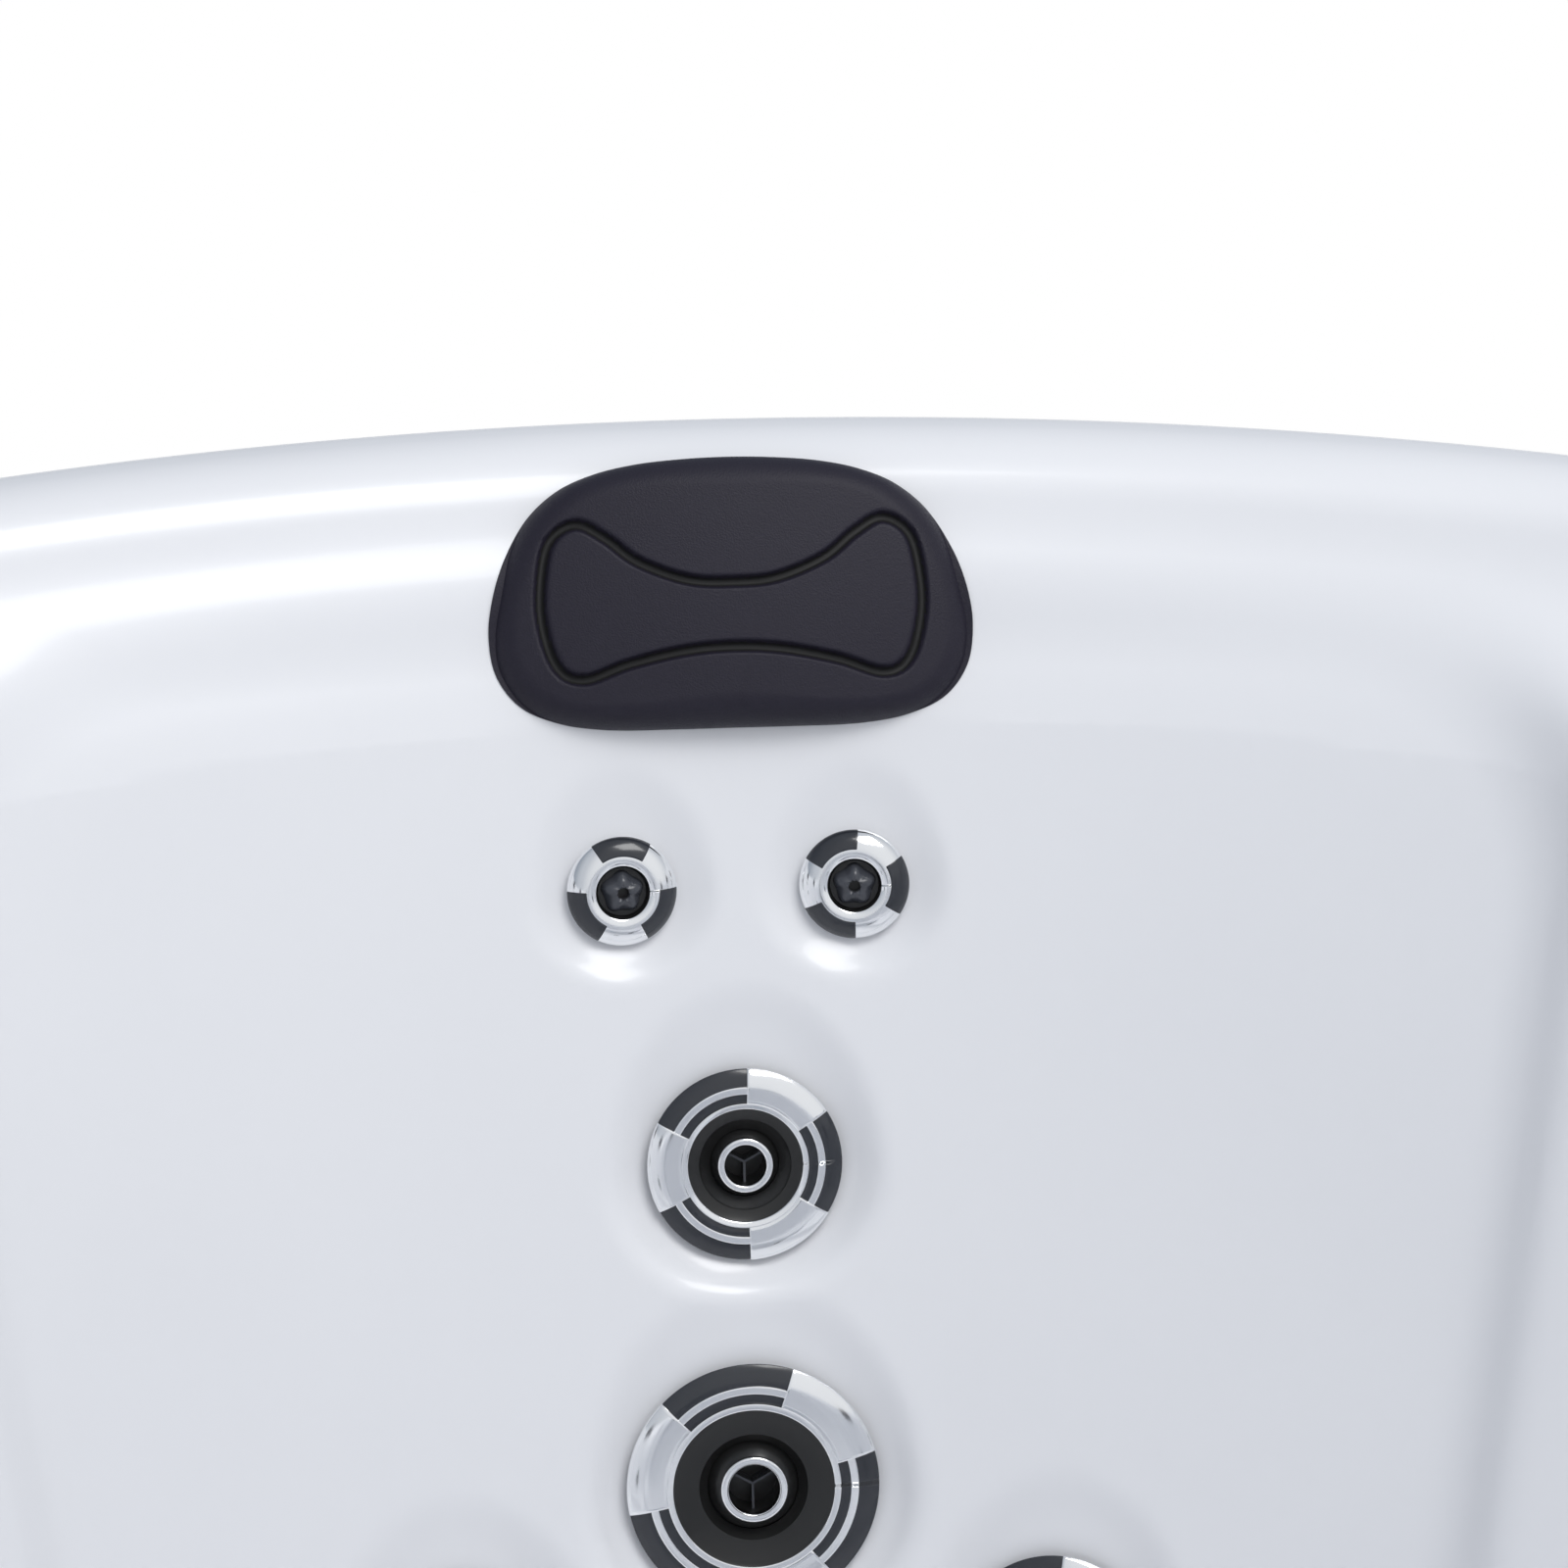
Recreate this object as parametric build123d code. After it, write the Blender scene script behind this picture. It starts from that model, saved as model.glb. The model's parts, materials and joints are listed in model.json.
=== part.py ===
from build123d import *
import math
import os

os.makedirs("parts", exist_ok=True)

# Round five-seat hot tub, in millimetres, standing on Z = 0.
# The origin is the middle of the underside, +Z is up, the photographed seat is at +Y
# and the console with the filter and the controls is at -Y.

# Overall tub
TUB_RADIUS = 1050.0
TUB_HEIGHT = 965.0
SHELL_WALL = 26.0
LIP_DROP = 45.0
LIP_WALL = 8.0
RIM_ROUND = 10.0
UPPER_WALL = 10.0

# Inside wall, as radii from the tub's axis
RIM_CORNER_RADIUS = TUB_RADIUS - 50.0
RIM_CORNER_DROP = 1.0
RIM_INNER_ROUND = 14.0
RIM_LEAD_SLOPE = 6.0
UPPER_SLOPE = 27.0
BACK_SLOPE = 20.0
BACK_BREAK_Z = TUB_HEIGHT - 127.0
SHOULDER_TOP_Z = TUB_HEIGHT - 67.0
SHOULDER_LOW_Z = TUB_HEIGHT - 85.0
RIDGE_PROUD = 38.0
SHOULDER_ROUND = 10.0

# Seats and footwell
SEAT_Z = TUB_HEIGHT - 670.0
BENCH_Z = SEAT_Z + 75.0
SEAT_ROUND = 60.0
BENCH_ROUND = 30.0
FOOTWELL_TOP_RADIUS = 330.0
FOOTWELL_FLOOR_RADIUS = 305.0
FLOOR_Z = 45.0
FLOOR_ROUND = 25.0
NICHE_AXIS_Y = 120.0
NICHE_HALF_ANGLE = 26.5
NICHE_TOP_Z = TUB_HEIGHT - 75.0
NICHE_CEILING_RUN = 30.0
NICHE_CEILING_RISE = 15.0
SEAT_INNER_RUN = 200.0
STATION_STEP = 60.0
PHOTO_SEAT = 90.0
LOUNGE_SEATS = (30.0, 150.0)
POWER_SEATS = (-30.0, -150.0)
SEATS = (PHOTO_SEAT,) + LOUNGE_SEATS + POWER_SEATS

# Jets: face radius, hole radius in the shell, depth of the pocket and of the body
JET_TILT = 14.0
GASKET = 1.5
FLANGE = 2.5
RUNNING_GAP = 0.5
SLEEVE_WALL = 3.2
HOLE_CLEARANCE = 0.4
FACE_THICKNESS = 6.0
NUT_STAND = 7.0
NUT_HEIGHT = 14.0
NUT_WIDTH = 10.0
SOCKET_CLEARANCE = 0.4
SOCKET_EDGE_DROP = 2.2
POCKET_HEIGHT = 34.0
POCKET_FLARE = 0.7
BOWL_SHARE = 0.585
WINDOW_RINGS = ((0.65, 0.74), (0.82, 0.93))
NECK_WINDOW_RING = (0.62, 0.88)

NECK_FACE = 28.0
NECK_HOLE = 19.0
NECK_POCKET_DEPTH = 7.0
NECK_BODY_DEPTH = 52.0
NECK_EGG = (37.0, 56.0, 34.0)
NECK_SKIRT_Z = -14.0
NECK_STAR_RADIUS = 9.0
NECK_STAR_LOBE = 3.6

MID_FACE = 50.0
MID_HOLE = 33.0
MID_POCKET_DEPTH = 10.0
MID_BODY_DEPTH = 72.0
MID_EGG = (58.0, 84.0, 54.0)
MID_BALL = 20.0
MID_BALL_DEPTH = 8.0
MID_TIP_RADIUS = 14.25
MID_TIP_Z = 10.0
MID_BORE = 10.5
MID_SKIRT_Z = -38.0

POWER_FACE = 65.0
POWER_HOLE = 43.0
POWER_POCKET_DEPTH = 11.0
POWER_BODY_DEPTH = 84.0
POWER_EGG = (73.0, 98.0, 68.0)
POWER_BALL = 26.0
POWER_BALL_DEPTH = 10.0
POWER_TIP_RADIUS = 17.25
POWER_TIP_Z = 12.0
POWER_BORE = 13.0
POWER_SKIRT_Z = -46.0
POWER_FIRST_WINDOW = -17.0

NECK_X = 59.0
NECK_Z = TUB_HEIGHT - 206.0
MID_Z = TUB_HEIGHT - 340.0
POWER_Z = TUB_HEIGHT - 496.0
LOW_X = 150.0
LOW_Z = TUB_HEIGHT - 572.0
LOUNGE_MID_Z = TUB_HEIGHT - 360.0
WINDOW_ANGLE = 64.0
WINDOW_DEPTH = 1.0

# Pillows
PILLOW_HALF_WIDTH = 124.0
PILLOW_TOP = 69.0
PILLOW_BOTTOM = 69.0
PILLOW_Z = TUB_HEIGHT - 69.0
PILLOW_NORMAL = 27.0
PILLOW_FRONT = 26.0
PILLOW_CROWN = 620.0
PILLOW_EDGE_ROUND = 9.0
PILLOW_CLEARANCE = 0.4
PILLOW_PIN_RADIUS = 8.0
PILLOW_PIN_X = 70.0
PILLOW_PIN_LENGTH = 13.0
GROOVE_WIDTH = 5.0
GROOVE_DEPTH = 5.0

# Console
CONSOLE_HALF_WIDTH = 290.0
CONSOLE_FACE_Y = 350.0 - TUB_RADIUS
CONSOLE_CORNER = 70.0
DECK_Z = TUB_HEIGHT - 80.0

# Filter and skimmer
FILTER_X = -140.0
FILTER_Y = CONSOLE_FACE_Y - 112.0
FILTER_RADIUS = 84.0
FILTER_WALL = 6.0
FILTER_BOTTOM_Z = DECK_Z - 415.0
FILTER_FLANGE = 11.0
FILTER_FLANGE_THICK = 5.0
CARTRIDGE_RADIUS = 70.0
CARTRIDGE_TOP_Z = DECK_Z - 150.0
CARTRIDGE_CORE = 24.0
PLEATS = 40
PLEAT_DEPTH = 9.0
LID_THICK = 14.0
MOUTH_HALF_WIDTH = 60.0
MOUTH_LOW_Z = DECK_Z - 125.0
MOUTH_HIGH_Z = DECK_Z - 35.0
WEIR_THICK = 4.0
WEIR_GAP = 2.0
WEIR_PIN_RADIUS = 2.5
THROAT_WALL = 4.0

# Controls
PANEL_X = 150.0
PANEL_Y = CONSOLE_FACE_Y - 65.0
PANEL_WIDTH = 200.0
PANEL_DEPTH = 70.0
PANEL_THICK = 10.0
PANEL_SKIN = 3.0
BUTTON_X = (-78.0, -52.0, 52.0, 78.0)
BUTTON_WIDTH = 20.0
BUTTON_DEPTH = 34.0
BUTTON_GAP = 0.6
BUTTON_FLANGE = 3.0
BUTTON_PROUD = 2.2
BUTTON_STROKE = 1.5
DISPLAY_WIDTH = 66.0
DISPLAY_DEPTH = 36.0
DIVERTER_X = 105.0
DIVERTER_Y = CONSOLE_FACE_Y - 180.0
DIVERTER_RADIUS = 34.0
AIR_X = 215.0
AIR_Y = CONSOLE_FACE_Y - 152.0
AIR_RADIUS = 22.0
KNOB_HEIGHT = 24.0
KNOB_GRIPS = 6
STEM_RADIUS = 8.0
STEM_LENGTH = 64.0
VALVE_SLEEVE = 13.5
VALVE_RADIUS = 32.0
VALVE_DEPTH = 70.0

# Cabinet
PANEL_OUTER_RADIUS = TUB_RADIUS - 17.0
PANEL_INNER_RADIUS = PANEL_OUTER_RADIUS - 15.0
CABINET_LOW_Z = 60.0
CABINET_HIGH_Z = TUB_HEIGHT - LIP_DROP - 5.0
CABINET_GAP = 0.3
JOINT_HALF_ANGLE = 2.0
PANEL_JOINT_GAP = 0.03
ACCESS_GAP = 0.2
BOARD_GROOVES = 7
BOARD_GROOVE_RADIUS = 3.0
TRIM_THICK = 8.0
PLINTH_RADIUS = PANEL_INNER_RADIUS - 3.0
PLINTH_LEDGE_Z = 45.0
PAN_THICK = 8.0
PAN_WALL = 12.0
FRAME_OUTER_RADIUS = PANEL_INNER_RADIUS - 3.0
FRAME_INNER_RADIUS = FRAME_OUTER_RADIUS - 28.0
TOP_RING_INNER_RADIUS = FRAME_OUTER_RADIUS - 15.0
FRAME_RING_HEIGHT = 38.0
POST_WIDTH = 60.0
HANDLE_Z = 640.0
HANDLE_WIDTH = 130.0
HANDLE_HEIGHT = 34.0
HANDLE_DEPTH = 7.0

# Equipment
RING_MAIN_RADIUS = FRAME_INNER_RADIUS - 39.0
RING_MAIN_Z = TUB_HEIGHT - 425.0
RING_MAIN_PIPE = 22.0
SADDLE_HEIGHT = 30.0
FEED_PIPE = 12.0
PUMP_Y = CONSOLE_FACE_Y - 100.0
PUMP_Z = 150.0
MOTOR_RADIUS = 70.0
MOTOR_LENGTH = 230.0
MOTOR_FINS = 7
FOOT_WIDTH = 90.0
VOLUTE_RADIUS = 85.0
VOLUTE_LENGTH = 70.0
HEATER_Y = CONSOLE_FACE_Y + 140.0
HEATER_Z = 110.0
HEATER_RADIUS = 32.0
HEATER_LENGTH = 320.0
BOX_X = 340.0
BOX_Y = CONSOLE_FACE_Y - 60.0
BOX_SIZE = (220.0, 120.0, 180.0)
DRAIN_Z = 28.0
DRAIN_RADIUS = 13.2
DRAIN_WALL = 4.0
DRAIN_SHANK_RADIUS = 15.0
DRAIN_END_Y = 5.0 - TUB_RADIUS
DRAIN_SHOULDER_Y = -PLINTH_RADIUS - 1.0
DRAIN_START_Y = DRAIN_END_Y + 85.0
CONDUIT_RADIUS = 16.5
CONDUIT_Z = 200.0
CONDUIT_AZIMUTH = -150.0
SUCTION_AZIMUTHS = (210.0, 330.0)
SUCTION_Z = 140.0
SUCTION_RADIUS = 55.0
SUCTION_SLEEVE = 24.0
SUCTION_SLOTS = 12
LIGHT_AZIMUTH = 270.0
LIGHT_Z = BENCH_Z - 145.0
LIGHT_RADIUS = 48.0
FLOOR_DRAIN_RADIUS = 42.0

# Worked out from the sizes above
BACK_TAN = math.tan(math.radians(BACK_SLOPE))
UPPER_TAN = math.tan(math.radians(UPPER_SLOPE))
RIM_CORNER_Z = TUB_HEIGHT - RIM_CORNER_DROP
BACK_BREAK_RADIUS = RIM_CORNER_RADIUS - (RIM_CORNER_Z - BACK_BREAK_Z) * UPPER_TAN
FLANGE_LOW_Z = TUB_HEIGHT - SHELL_WALL
LIP_LOW_Z = TUB_HEIGHT - LIP_DROP
DECK_LOW_Z = DECK_Z - SHELL_WALL
ABOVE = 40.0
FACE_BACK = GASKET + FLANGE + RUNNING_GAP
FACE_FRONT = FACE_BACK + FACE_THICKNESS


def back_radius(z):
    """Radius of a seat's back at its middle, at height z."""
    if z >= BACK_BREAK_Z:
        return BACK_BREAK_RADIUS + (z - BACK_BREAK_Z) * UPPER_TAN
    return BACK_BREAK_RADIUS - (BACK_BREAK_Z - z) * BACK_TAN


def ridge_radius(z):
    """Radius of the wall between two seats, below its shoulder."""
    return BACK_BREAK_RADIUS - RIDGE_PROUD - (BACK_BREAK_Z - z) * BACK_TAN


def turned(shape, azimuth):
    """Moves a shape made for the +Y seat to another azimuth."""
    return Rot(0, 0, azimuth - PHOTO_SEAT) * shape


def ring_face(points, rounds=()):
    """Closed face in the XZ plane, with some of its corners rounded."""
    face = make_face(Polyline(*[(x, 0, z) for x, z in points], close=True))
    for (x, z), radius in rounds:
        corner = face.vertices().sort_by_distance((x, 0, z))[0]
        face = fillet(corner, radius)
    return face


def turned_solid(points, rounds=(), arc=360.0):
    """Solid of revolution about Z from (radius, height) points."""
    return revolve(ring_face(points, rounds), Axis.Z, arc)


def tube(outer, inner, low, high):
    """Ring about Z between two heights."""
    return turned_solid([(inner, low), (outer, low), (outer, high), (inner, high)])


def rod(radius, start, end):
    """Round bar between two points."""
    run = Vector(*end) - Vector(*start)
    plane = Plane(origin=start, z_dir=run)
    return plane.location * post(radius, run.length)


def post(radius, height):
    """Round bar standing on Z = 0."""
    return Cylinder(radius, height, align=(Align.CENTER, Align.CENTER, Align.MIN))


def block(low, high):
    """Box between its lowest and highest corners."""
    size = [b - a for a, b in zip(low, high)]
    return Pos(*low) * Box(*size, align=(Align.MIN, Align.MIN, Align.MIN))


def sector(half_angle, low, high, reach=1400.0):
    """Wedge about the +Y direction with its point on the tub's axis."""
    side = reach * math.tan(math.radians(half_angle))
    face = make_face(Polyline((0, 0), (side, reach), (-side, reach), close=True))
    return Pos(0, 0, low) * extrude(face, high - low)


def main_cavity(inset=0.0):
    """The bath without its seats: footwell, bench level, wall, shoulder and rim."""
    bench_radius = ridge_radius(BENCH_Z) - inset
    low = (ridge_radius(SHOULDER_LOW_Z) - inset, SHOULDER_LOW_Z)
    high = (back_radius(SHOULDER_TOP_Z) - inset, SHOULDER_TOP_Z)
    corner = (RIM_CORNER_RADIUS - inset, RIM_CORNER_Z)
    lead = (corner[0] + 70, corner[1] + 70 * math.tan(math.radians(RIM_LEAD_SLOPE)))
    floor = (FOOTWELL_FLOOR_RADIUS, FLOOR_Z)
    step = (FOOTWELL_TOP_RADIUS, BENCH_Z)
    bench = (bench_radius, BENCH_Z)
    points = [(0, FLOOR_Z), floor, step, bench, low, high, corner, lead]
    points += [(lead[0], TUB_HEIGHT + ABOVE), (0, TUB_HEIGHT + ABOVE)]
    rounds = [(floor, FLOOR_ROUND), (step, BENCH_ROUND), (bench, SEAT_ROUND)]
    rounds += [(low, SHOULDER_ROUND), (high, SHOULDER_ROUND), (corner, RIM_INNER_ROUND)]
    return turned_solid(points, rounds)


def seat_niche(inset=0.0):
    """Hollow of the +Y seat: flat seat, rounded corner and a back in two slopes."""
    def reach(z):
        return back_radius(z) - NICHE_AXIS_Y - inset
    seat = (reach(SEAT_Z), SEAT_Z)
    top = (reach(NICHE_TOP_Z), NICHE_TOP_Z)
    ceiling = (top[0] - NICHE_CEILING_RUN, NICHE_TOP_Z + NICHE_CEILING_RISE)
    points = [(0, SEAT_Z), seat, (reach(BACK_BREAK_Z), BACK_BREAK_Z), top, ceiling, (0, ceiling[1])]
    hollow = Pos(0, NICHE_AXIS_Y, 0) * turned_solid(points, [(seat, SEAT_ROUND)])
    inner = Pos(0, 0, SEAT_Z) * post(FOOTWELL_TOP_RADIUS + SEAT_INNER_RUN, 300)
    wedge = sector(NICHE_HALF_ANGLE, SEAT_Z, TUB_HEIGHT + ABOVE)
    return (hollow + inner) & wedge


def jet_place(seat, x, z, depth):
    """Frame of a jet: origin on its pocket's floor, Z out of the wall, Y up."""
    reach = back_radius(z) - NICHE_AXIS_Y
    swing = math.asin(x / reach)
    tilt = math.radians(JET_TILT)
    outward = Vector(-math.sin(swing) * math.cos(tilt), -math.cos(swing) * math.cos(tilt), math.sin(tilt))
    across = Vector(math.cos(swing), -math.sin(swing), 0)
    wall = Vector(x, NICHE_AXIS_Y + reach * math.cos(swing), z)
    frame = Plane(origin=wall - outward * depth, x_dir=across, z_dir=outward)
    return Rot(0, 0, seat - PHOTO_SEAT) * frame.location


def egg_wire(half_width, up, down, height):
    """Egg outline: a taller half ellipse over a flatter one."""
    upper = EllipticalCenterArc((0, 0), half_width, up, start_angle=0, arc_size=180)
    lower = EllipticalCenterArc((0, 0), half_width, down, start_angle=180, arc_size=180)
    return Pos(0, 0, height) * make_face([upper, lower])


def egg_pocket(egg):
    """Flared pocket of a jet, from its flat floor outwards."""
    grow = POCKET_HEIGHT * POCKET_FLARE
    floor = egg_wire(*egg, 0)
    mouth = egg_wire(*[size + grow for size in egg], POCKET_HEIGHT)
    return loft([floor, mouth], ruled=True)


KINDS = {
    "neck": (NECK_FACE, NECK_HOLE, NECK_EGG, NECK_POCKET_DEPTH, NECK_BODY_DEPTH),
    "mid": (MID_FACE, MID_HOLE, MID_EGG, MID_POCKET_DEPTH, MID_BODY_DEPTH),
    "power": (POWER_FACE, POWER_HOLE, POWER_EGG, POWER_POCKET_DEPTH, POWER_BODY_DEPTH),
}


class Jet:
    """Where one jet is and which sizes it has."""

    def __init__(self, name, kind, seat, x, z):
        self.name = name
        self.kind = kind
        self.face_radius, self.hole, self.egg, depth, self.body_depth = KINDS[kind]
        self.place = jet_place(seat, x, z, depth)


def all_jets():
    jets = [
        Jet("neck_jet_left", "neck", PHOTO_SEAT, -NECK_X, NECK_Z),
        Jet("neck_jet_right", "neck", PHOTO_SEAT, NECK_X, NECK_Z),
        Jet("back_jet", "mid", PHOTO_SEAT, 0, MID_Z),
        Jet("lumbar_jet", "power", PHOTO_SEAT, 0, POWER_Z),
        Jet("hip_jet_left", "mid", PHOTO_SEAT, -LOW_X, LOW_Z),
        Jet("hip_jet_right", "mid", PHOTO_SEAT, LOW_X, LOW_Z),
    ]
    for side, seat in zip(("east", "west"), LOUNGE_SEATS):
        jets.append(Jet(side + "_neck_jet_left", "neck", seat, -NECK_X, NECK_Z))
        jets.append(Jet(side + "_neck_jet_right", "neck", seat, NECK_X, NECK_Z))
        jets.append(Jet(side + "_back_jet", "mid", seat, 0, LOUNGE_MID_Z))
    for side, seat in zip(("east", "west"), POWER_SEATS):
        jets.append(Jet(side + "_lumbar_jet", "power", seat, 0, POWER_Z))
    return jets


JETS = all_jets()


def shell_outside():
    """Hidden side of the shell with the rim flange and its lip."""
    wall = SHELL_WALL / math.cos(math.radians(BACK_SLOPE))
    seat = (back_radius(SEAT_Z - SHELL_WALL) + wall, SEAT_Z - SHELL_WALL)
    points = [(0, FLOOR_Z - SHELL_WALL), (FOOTWELL_FLOOR_RADIUS + SHELL_WALL, FLOOR_Z - SHELL_WALL)]
    points += [(FOOTWELL_TOP_RADIUS + SHELL_WALL, SEAT_Z - SHELL_WALL), seat]
    points += [(back_radius(BACK_BREAK_Z) + wall, BACK_BREAK_Z)]
    points += [(back_radius(FLANGE_LOW_Z) + UPPER_WALL, FLANGE_LOW_Z)]
    points += [(TUB_RADIUS - LIP_WALL, FLANGE_LOW_Z), (TUB_RADIUS - LIP_WALL, LIP_LOW_Z)]
    points += [(TUB_RADIUS, LIP_LOW_Z), (TUB_RADIUS, TUB_HEIGHT), (0, TUB_HEIGHT)]
    rounds = [((TUB_RADIUS, TUB_HEIGHT), RIM_ROUND), (seat, SEAT_ROUND)]
    return turned_solid(points, rounds)


def console_block(inset, low, high, reach):
    """Upright block of the console, from its face out to the wall."""
    width = 2 * (CONSOLE_HALF_WIDTH - inset)
    face_y = CONSOLE_FACE_Y - inset
    solid = block((-width / 2, -reach, low), (width / 2, face_y, high))
    corners = solid.edges().filter_by(Axis.Z).group_by(Axis.Y)[-1]
    return fillet(corners, CONSOLE_CORNER - inset)


def wall_fitting_place(azimuth, z, radius):
    """Frame on the footwell's wall, clear of its curve, with Z towards the bath."""
    share = (z - FLOOR_Z) / (BENCH_Z - FLOOR_Z)
    wall = FOOTWELL_FLOOR_RADIUS + share * (FOOTWELL_TOP_RADIUS - FOOTWELL_FLOOR_RADIUS)
    stand = wall - math.sqrt(wall**2 - radius**2) + 2 * RUNNING_GAP
    lean = math.atan((FOOTWELL_TOP_RADIUS - FOOTWELL_FLOOR_RADIUS) / (BENCH_Z - FLOOR_Z))
    inward = Vector(0, -math.cos(lean), math.sin(lean))
    frame = Plane(origin=(0, wall - stand, z), x_dir=(1, 0, 0), z_dir=inward)
    return Rot(0, 0, azimuth - PHOTO_SEAT) * frame.location


def pillow_frame():
    """Frame of the +Y pillow: Z away from the wall, Y up along it."""
    lean = math.radians(PILLOW_NORMAL)
    outward = Vector(0, -math.cos(lean), math.sin(lean))
    return Plane(origin=(0, back_radius(PILLOW_Z), PILLOW_Z), x_dir=(1, 0, 0), z_dir=outward)


PILLOW_PLACE = pillow_frame().location


def make_shell():
    """Moulded shell: rim, wall, five seats, footwell and console."""
    hollow = main_cavity()
    for seat in SEATS:
        hollow += turned(seat_niche(), seat)
    hollow -= console_block(0, BENCH_Z - 60, DECK_Z, TUB_RADIUS + ABOVE)
    shell = shell_outside() - hollow
    shell -= console_block(SHELL_WALL, SEAT_Z - 2 * SHELL_WALL, DECK_LOW_Z, TUB_RADIUS + ABOVE) - lip_guard()
    cuts = []
    for jet in JETS:
        hole = Cylinder(jet.hole, 160)
        cuts.append(jet.place * (egg_pocket(jet.egg) + hole))
    for azimuth in SUCTION_AZIMUTHS:
        place = wall_fitting_place(azimuth, SUCTION_Z, SUCTION_RADIUS)
        cuts.append(place * Cylinder(SUCTION_SLEEVE + HOLE_CLEARANCE, 140))
    light = wall_fitting_place(LIGHT_AZIMUTH, LIGHT_Z, LIGHT_RADIUS)
    cuts.append(light * Cylinder(SUCTION_SLEEVE + HOLE_CLEARANCE, 140))
    cuts.append(Cylinder(SUCTION_SLEEVE + HOLE_CLEARANCE, 2 * FLOOR_Z + 20))
    cuts.append(Pos(FILTER_X, FILTER_Y, DECK_Z) * Cylinder(FILTER_RADIUS + HOLE_CLEARANCE, 3 * SHELL_WALL))
    cuts.append(skimmer_mouth(0, CONSOLE_FACE_Y + 20, CONSOLE_FACE_Y - SHELL_WALL - 2))
    for x, y in ((DIVERTER_X, DIVERTER_Y), (AIR_X, AIR_Y)):
        cuts.append(Pos(x, y, DECK_Z) * Cylinder(VALVE_SLEEVE + HOLE_CLEARANCE, 3 * SHELL_WALL))
    for seat in SEATS:
        for side in (-1, 1):
            pin = Cylinder(PILLOW_PIN_RADIUS + HOLE_CLEARANCE, 2 * (PILLOW_PIN_LENGTH + HOLE_CLEARANCE))
            cuts.append(turned(PILLOW_PLACE * Pos(side * PILLOW_PIN_X, 0, 0) * pin, seat))
    for cut in cuts:
        shell -= cut
    return shell


def lip_guard():
    """Space of the rim flange and lip, which the console's hollow leaves alone."""
    return tube(TUB_RADIUS + ABOVE, TUB_RADIUS - LIP_WALL, LIP_LOW_Z, TUB_HEIGHT)


def skimmer_mouth(grow, near_y, far_y):
    """Upright rectangle through which water runs into the filter."""
    low = (FILTER_X - MOUTH_HALF_WIDTH - grow, far_y, MOUTH_LOW_Z - grow)
    high = (FILTER_X + MOUTH_HALF_WIDTH + grow, near_y, MOUTH_HIGH_Z + grow)
    return block(low, high)


def arc_window(inner, outer, middle):
    """Shallow recess in a face's front between two radii, centred on one direction."""
    floor = FACE_FRONT - WINDOW_DEPTH
    ring = tube(outer, inner, floor, FACE_FRONT + 1)
    half = math.radians(WINDOW_ANGLE / 2)
    side_x = 2 * outer * math.cos(half)
    side_y = 2 * outer * math.sin(half)
    fan = make_face(Polyline((0, 0), (side_x, -side_y), (side_x, side_y), close=True))
    wedge = Pos(0, 0, floor) * extrude(fan, WINDOW_DEPTH + 1)
    return Rot(0, 0, middle) * (ring & wedge)


def jet_body(hole, face_radius, depth):
    """Fixed body behind one jet: flange, sleeve, nut, chamber and water inlet."""
    inner = hole - HOLE_CLEARANCE - SLEEVE_WALL
    outer = hole - HOLE_CLEARANCE
    back = -depth
    nut_top = -SHELL_WALL + 4 - NUT_STAND
    nut_low = nut_top - NUT_HEIGHT
    points = [(inner, back + SLEEVE_WALL), (0, back + SLEEVE_WALL), (0, back), (outer, back)]
    points += [(outer, nut_low), (hole + NUT_WIDTH, nut_low), (hole + NUT_WIDTH, nut_top)]
    points += [(outer, nut_top), (outer, GASKET), (face_radius - 5, GASKET)]
    points += [(face_radius - 5, GASKET + FLANGE), (inner, GASKET + FLANGE)]
    return turned_solid(points)


def jet_gasket(hole, face_radius):
    """Sealing ring under a jet's flange."""
    return tube(face_radius - 7, hole, 0, GASKET)


def face_profile(face_radius, hole, ball, ball_depth, skirt):
    """Section of a turning jet face with its bowl, socket and barrel."""
    socket = ball + SOCKET_CLEARANCE
    edge_z = FACE_BACK - SOCKET_EDGE_DROP
    edge_r = math.sqrt(socket**2 - (edge_z + ball_depth) ** 2)
    rear_z = -ball_depth - 0.75 * socket
    rear_r = math.sqrt(socket**2 - (rear_z + ball_depth) ** 2)
    barrel = hole - HOLE_CLEARANCE - SLEEVE_WALL - RUNNING_GAP
    bowl = BOWL_SHARE * face_radius
    lines = Polyline(
        (edge_r, 0, edge_z), (bowl, 0, FACE_FRONT - 1.5), (bowl, 0, FACE_FRONT),
        (face_radius - 3, 0, FACE_FRONT),
        (face_radius, 0, FACE_BACK + 2), (face_radius, 0, FACE_BACK), (barrel, 0, FACE_BACK),
        (barrel, 0, skirt), (rear_r, 0, skirt), (rear_r, 0, rear_z),
    )
    arc = ThreePointArc((rear_r, 0, rear_z), (socket, 0, -ball_depth), (edge_r, 0, edge_z))
    return make_face([*lines.edges(), arc])


def turning_face(face_radius, hole, ball, ball_depth, skirt, first_window):
    """Jet face that turns by hand to open or shut its jet."""
    face = revolve(face_profile(face_radius, hole, ball, ball_depth, skirt), Axis.Z, 360)
    for turn in range(3):
        middle = first_window + 120 * turn
        for inner, outer in WINDOW_RINGS:
            face -= arc_window(inner * face_radius, outer * face_radius, middle)
    return face


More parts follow.
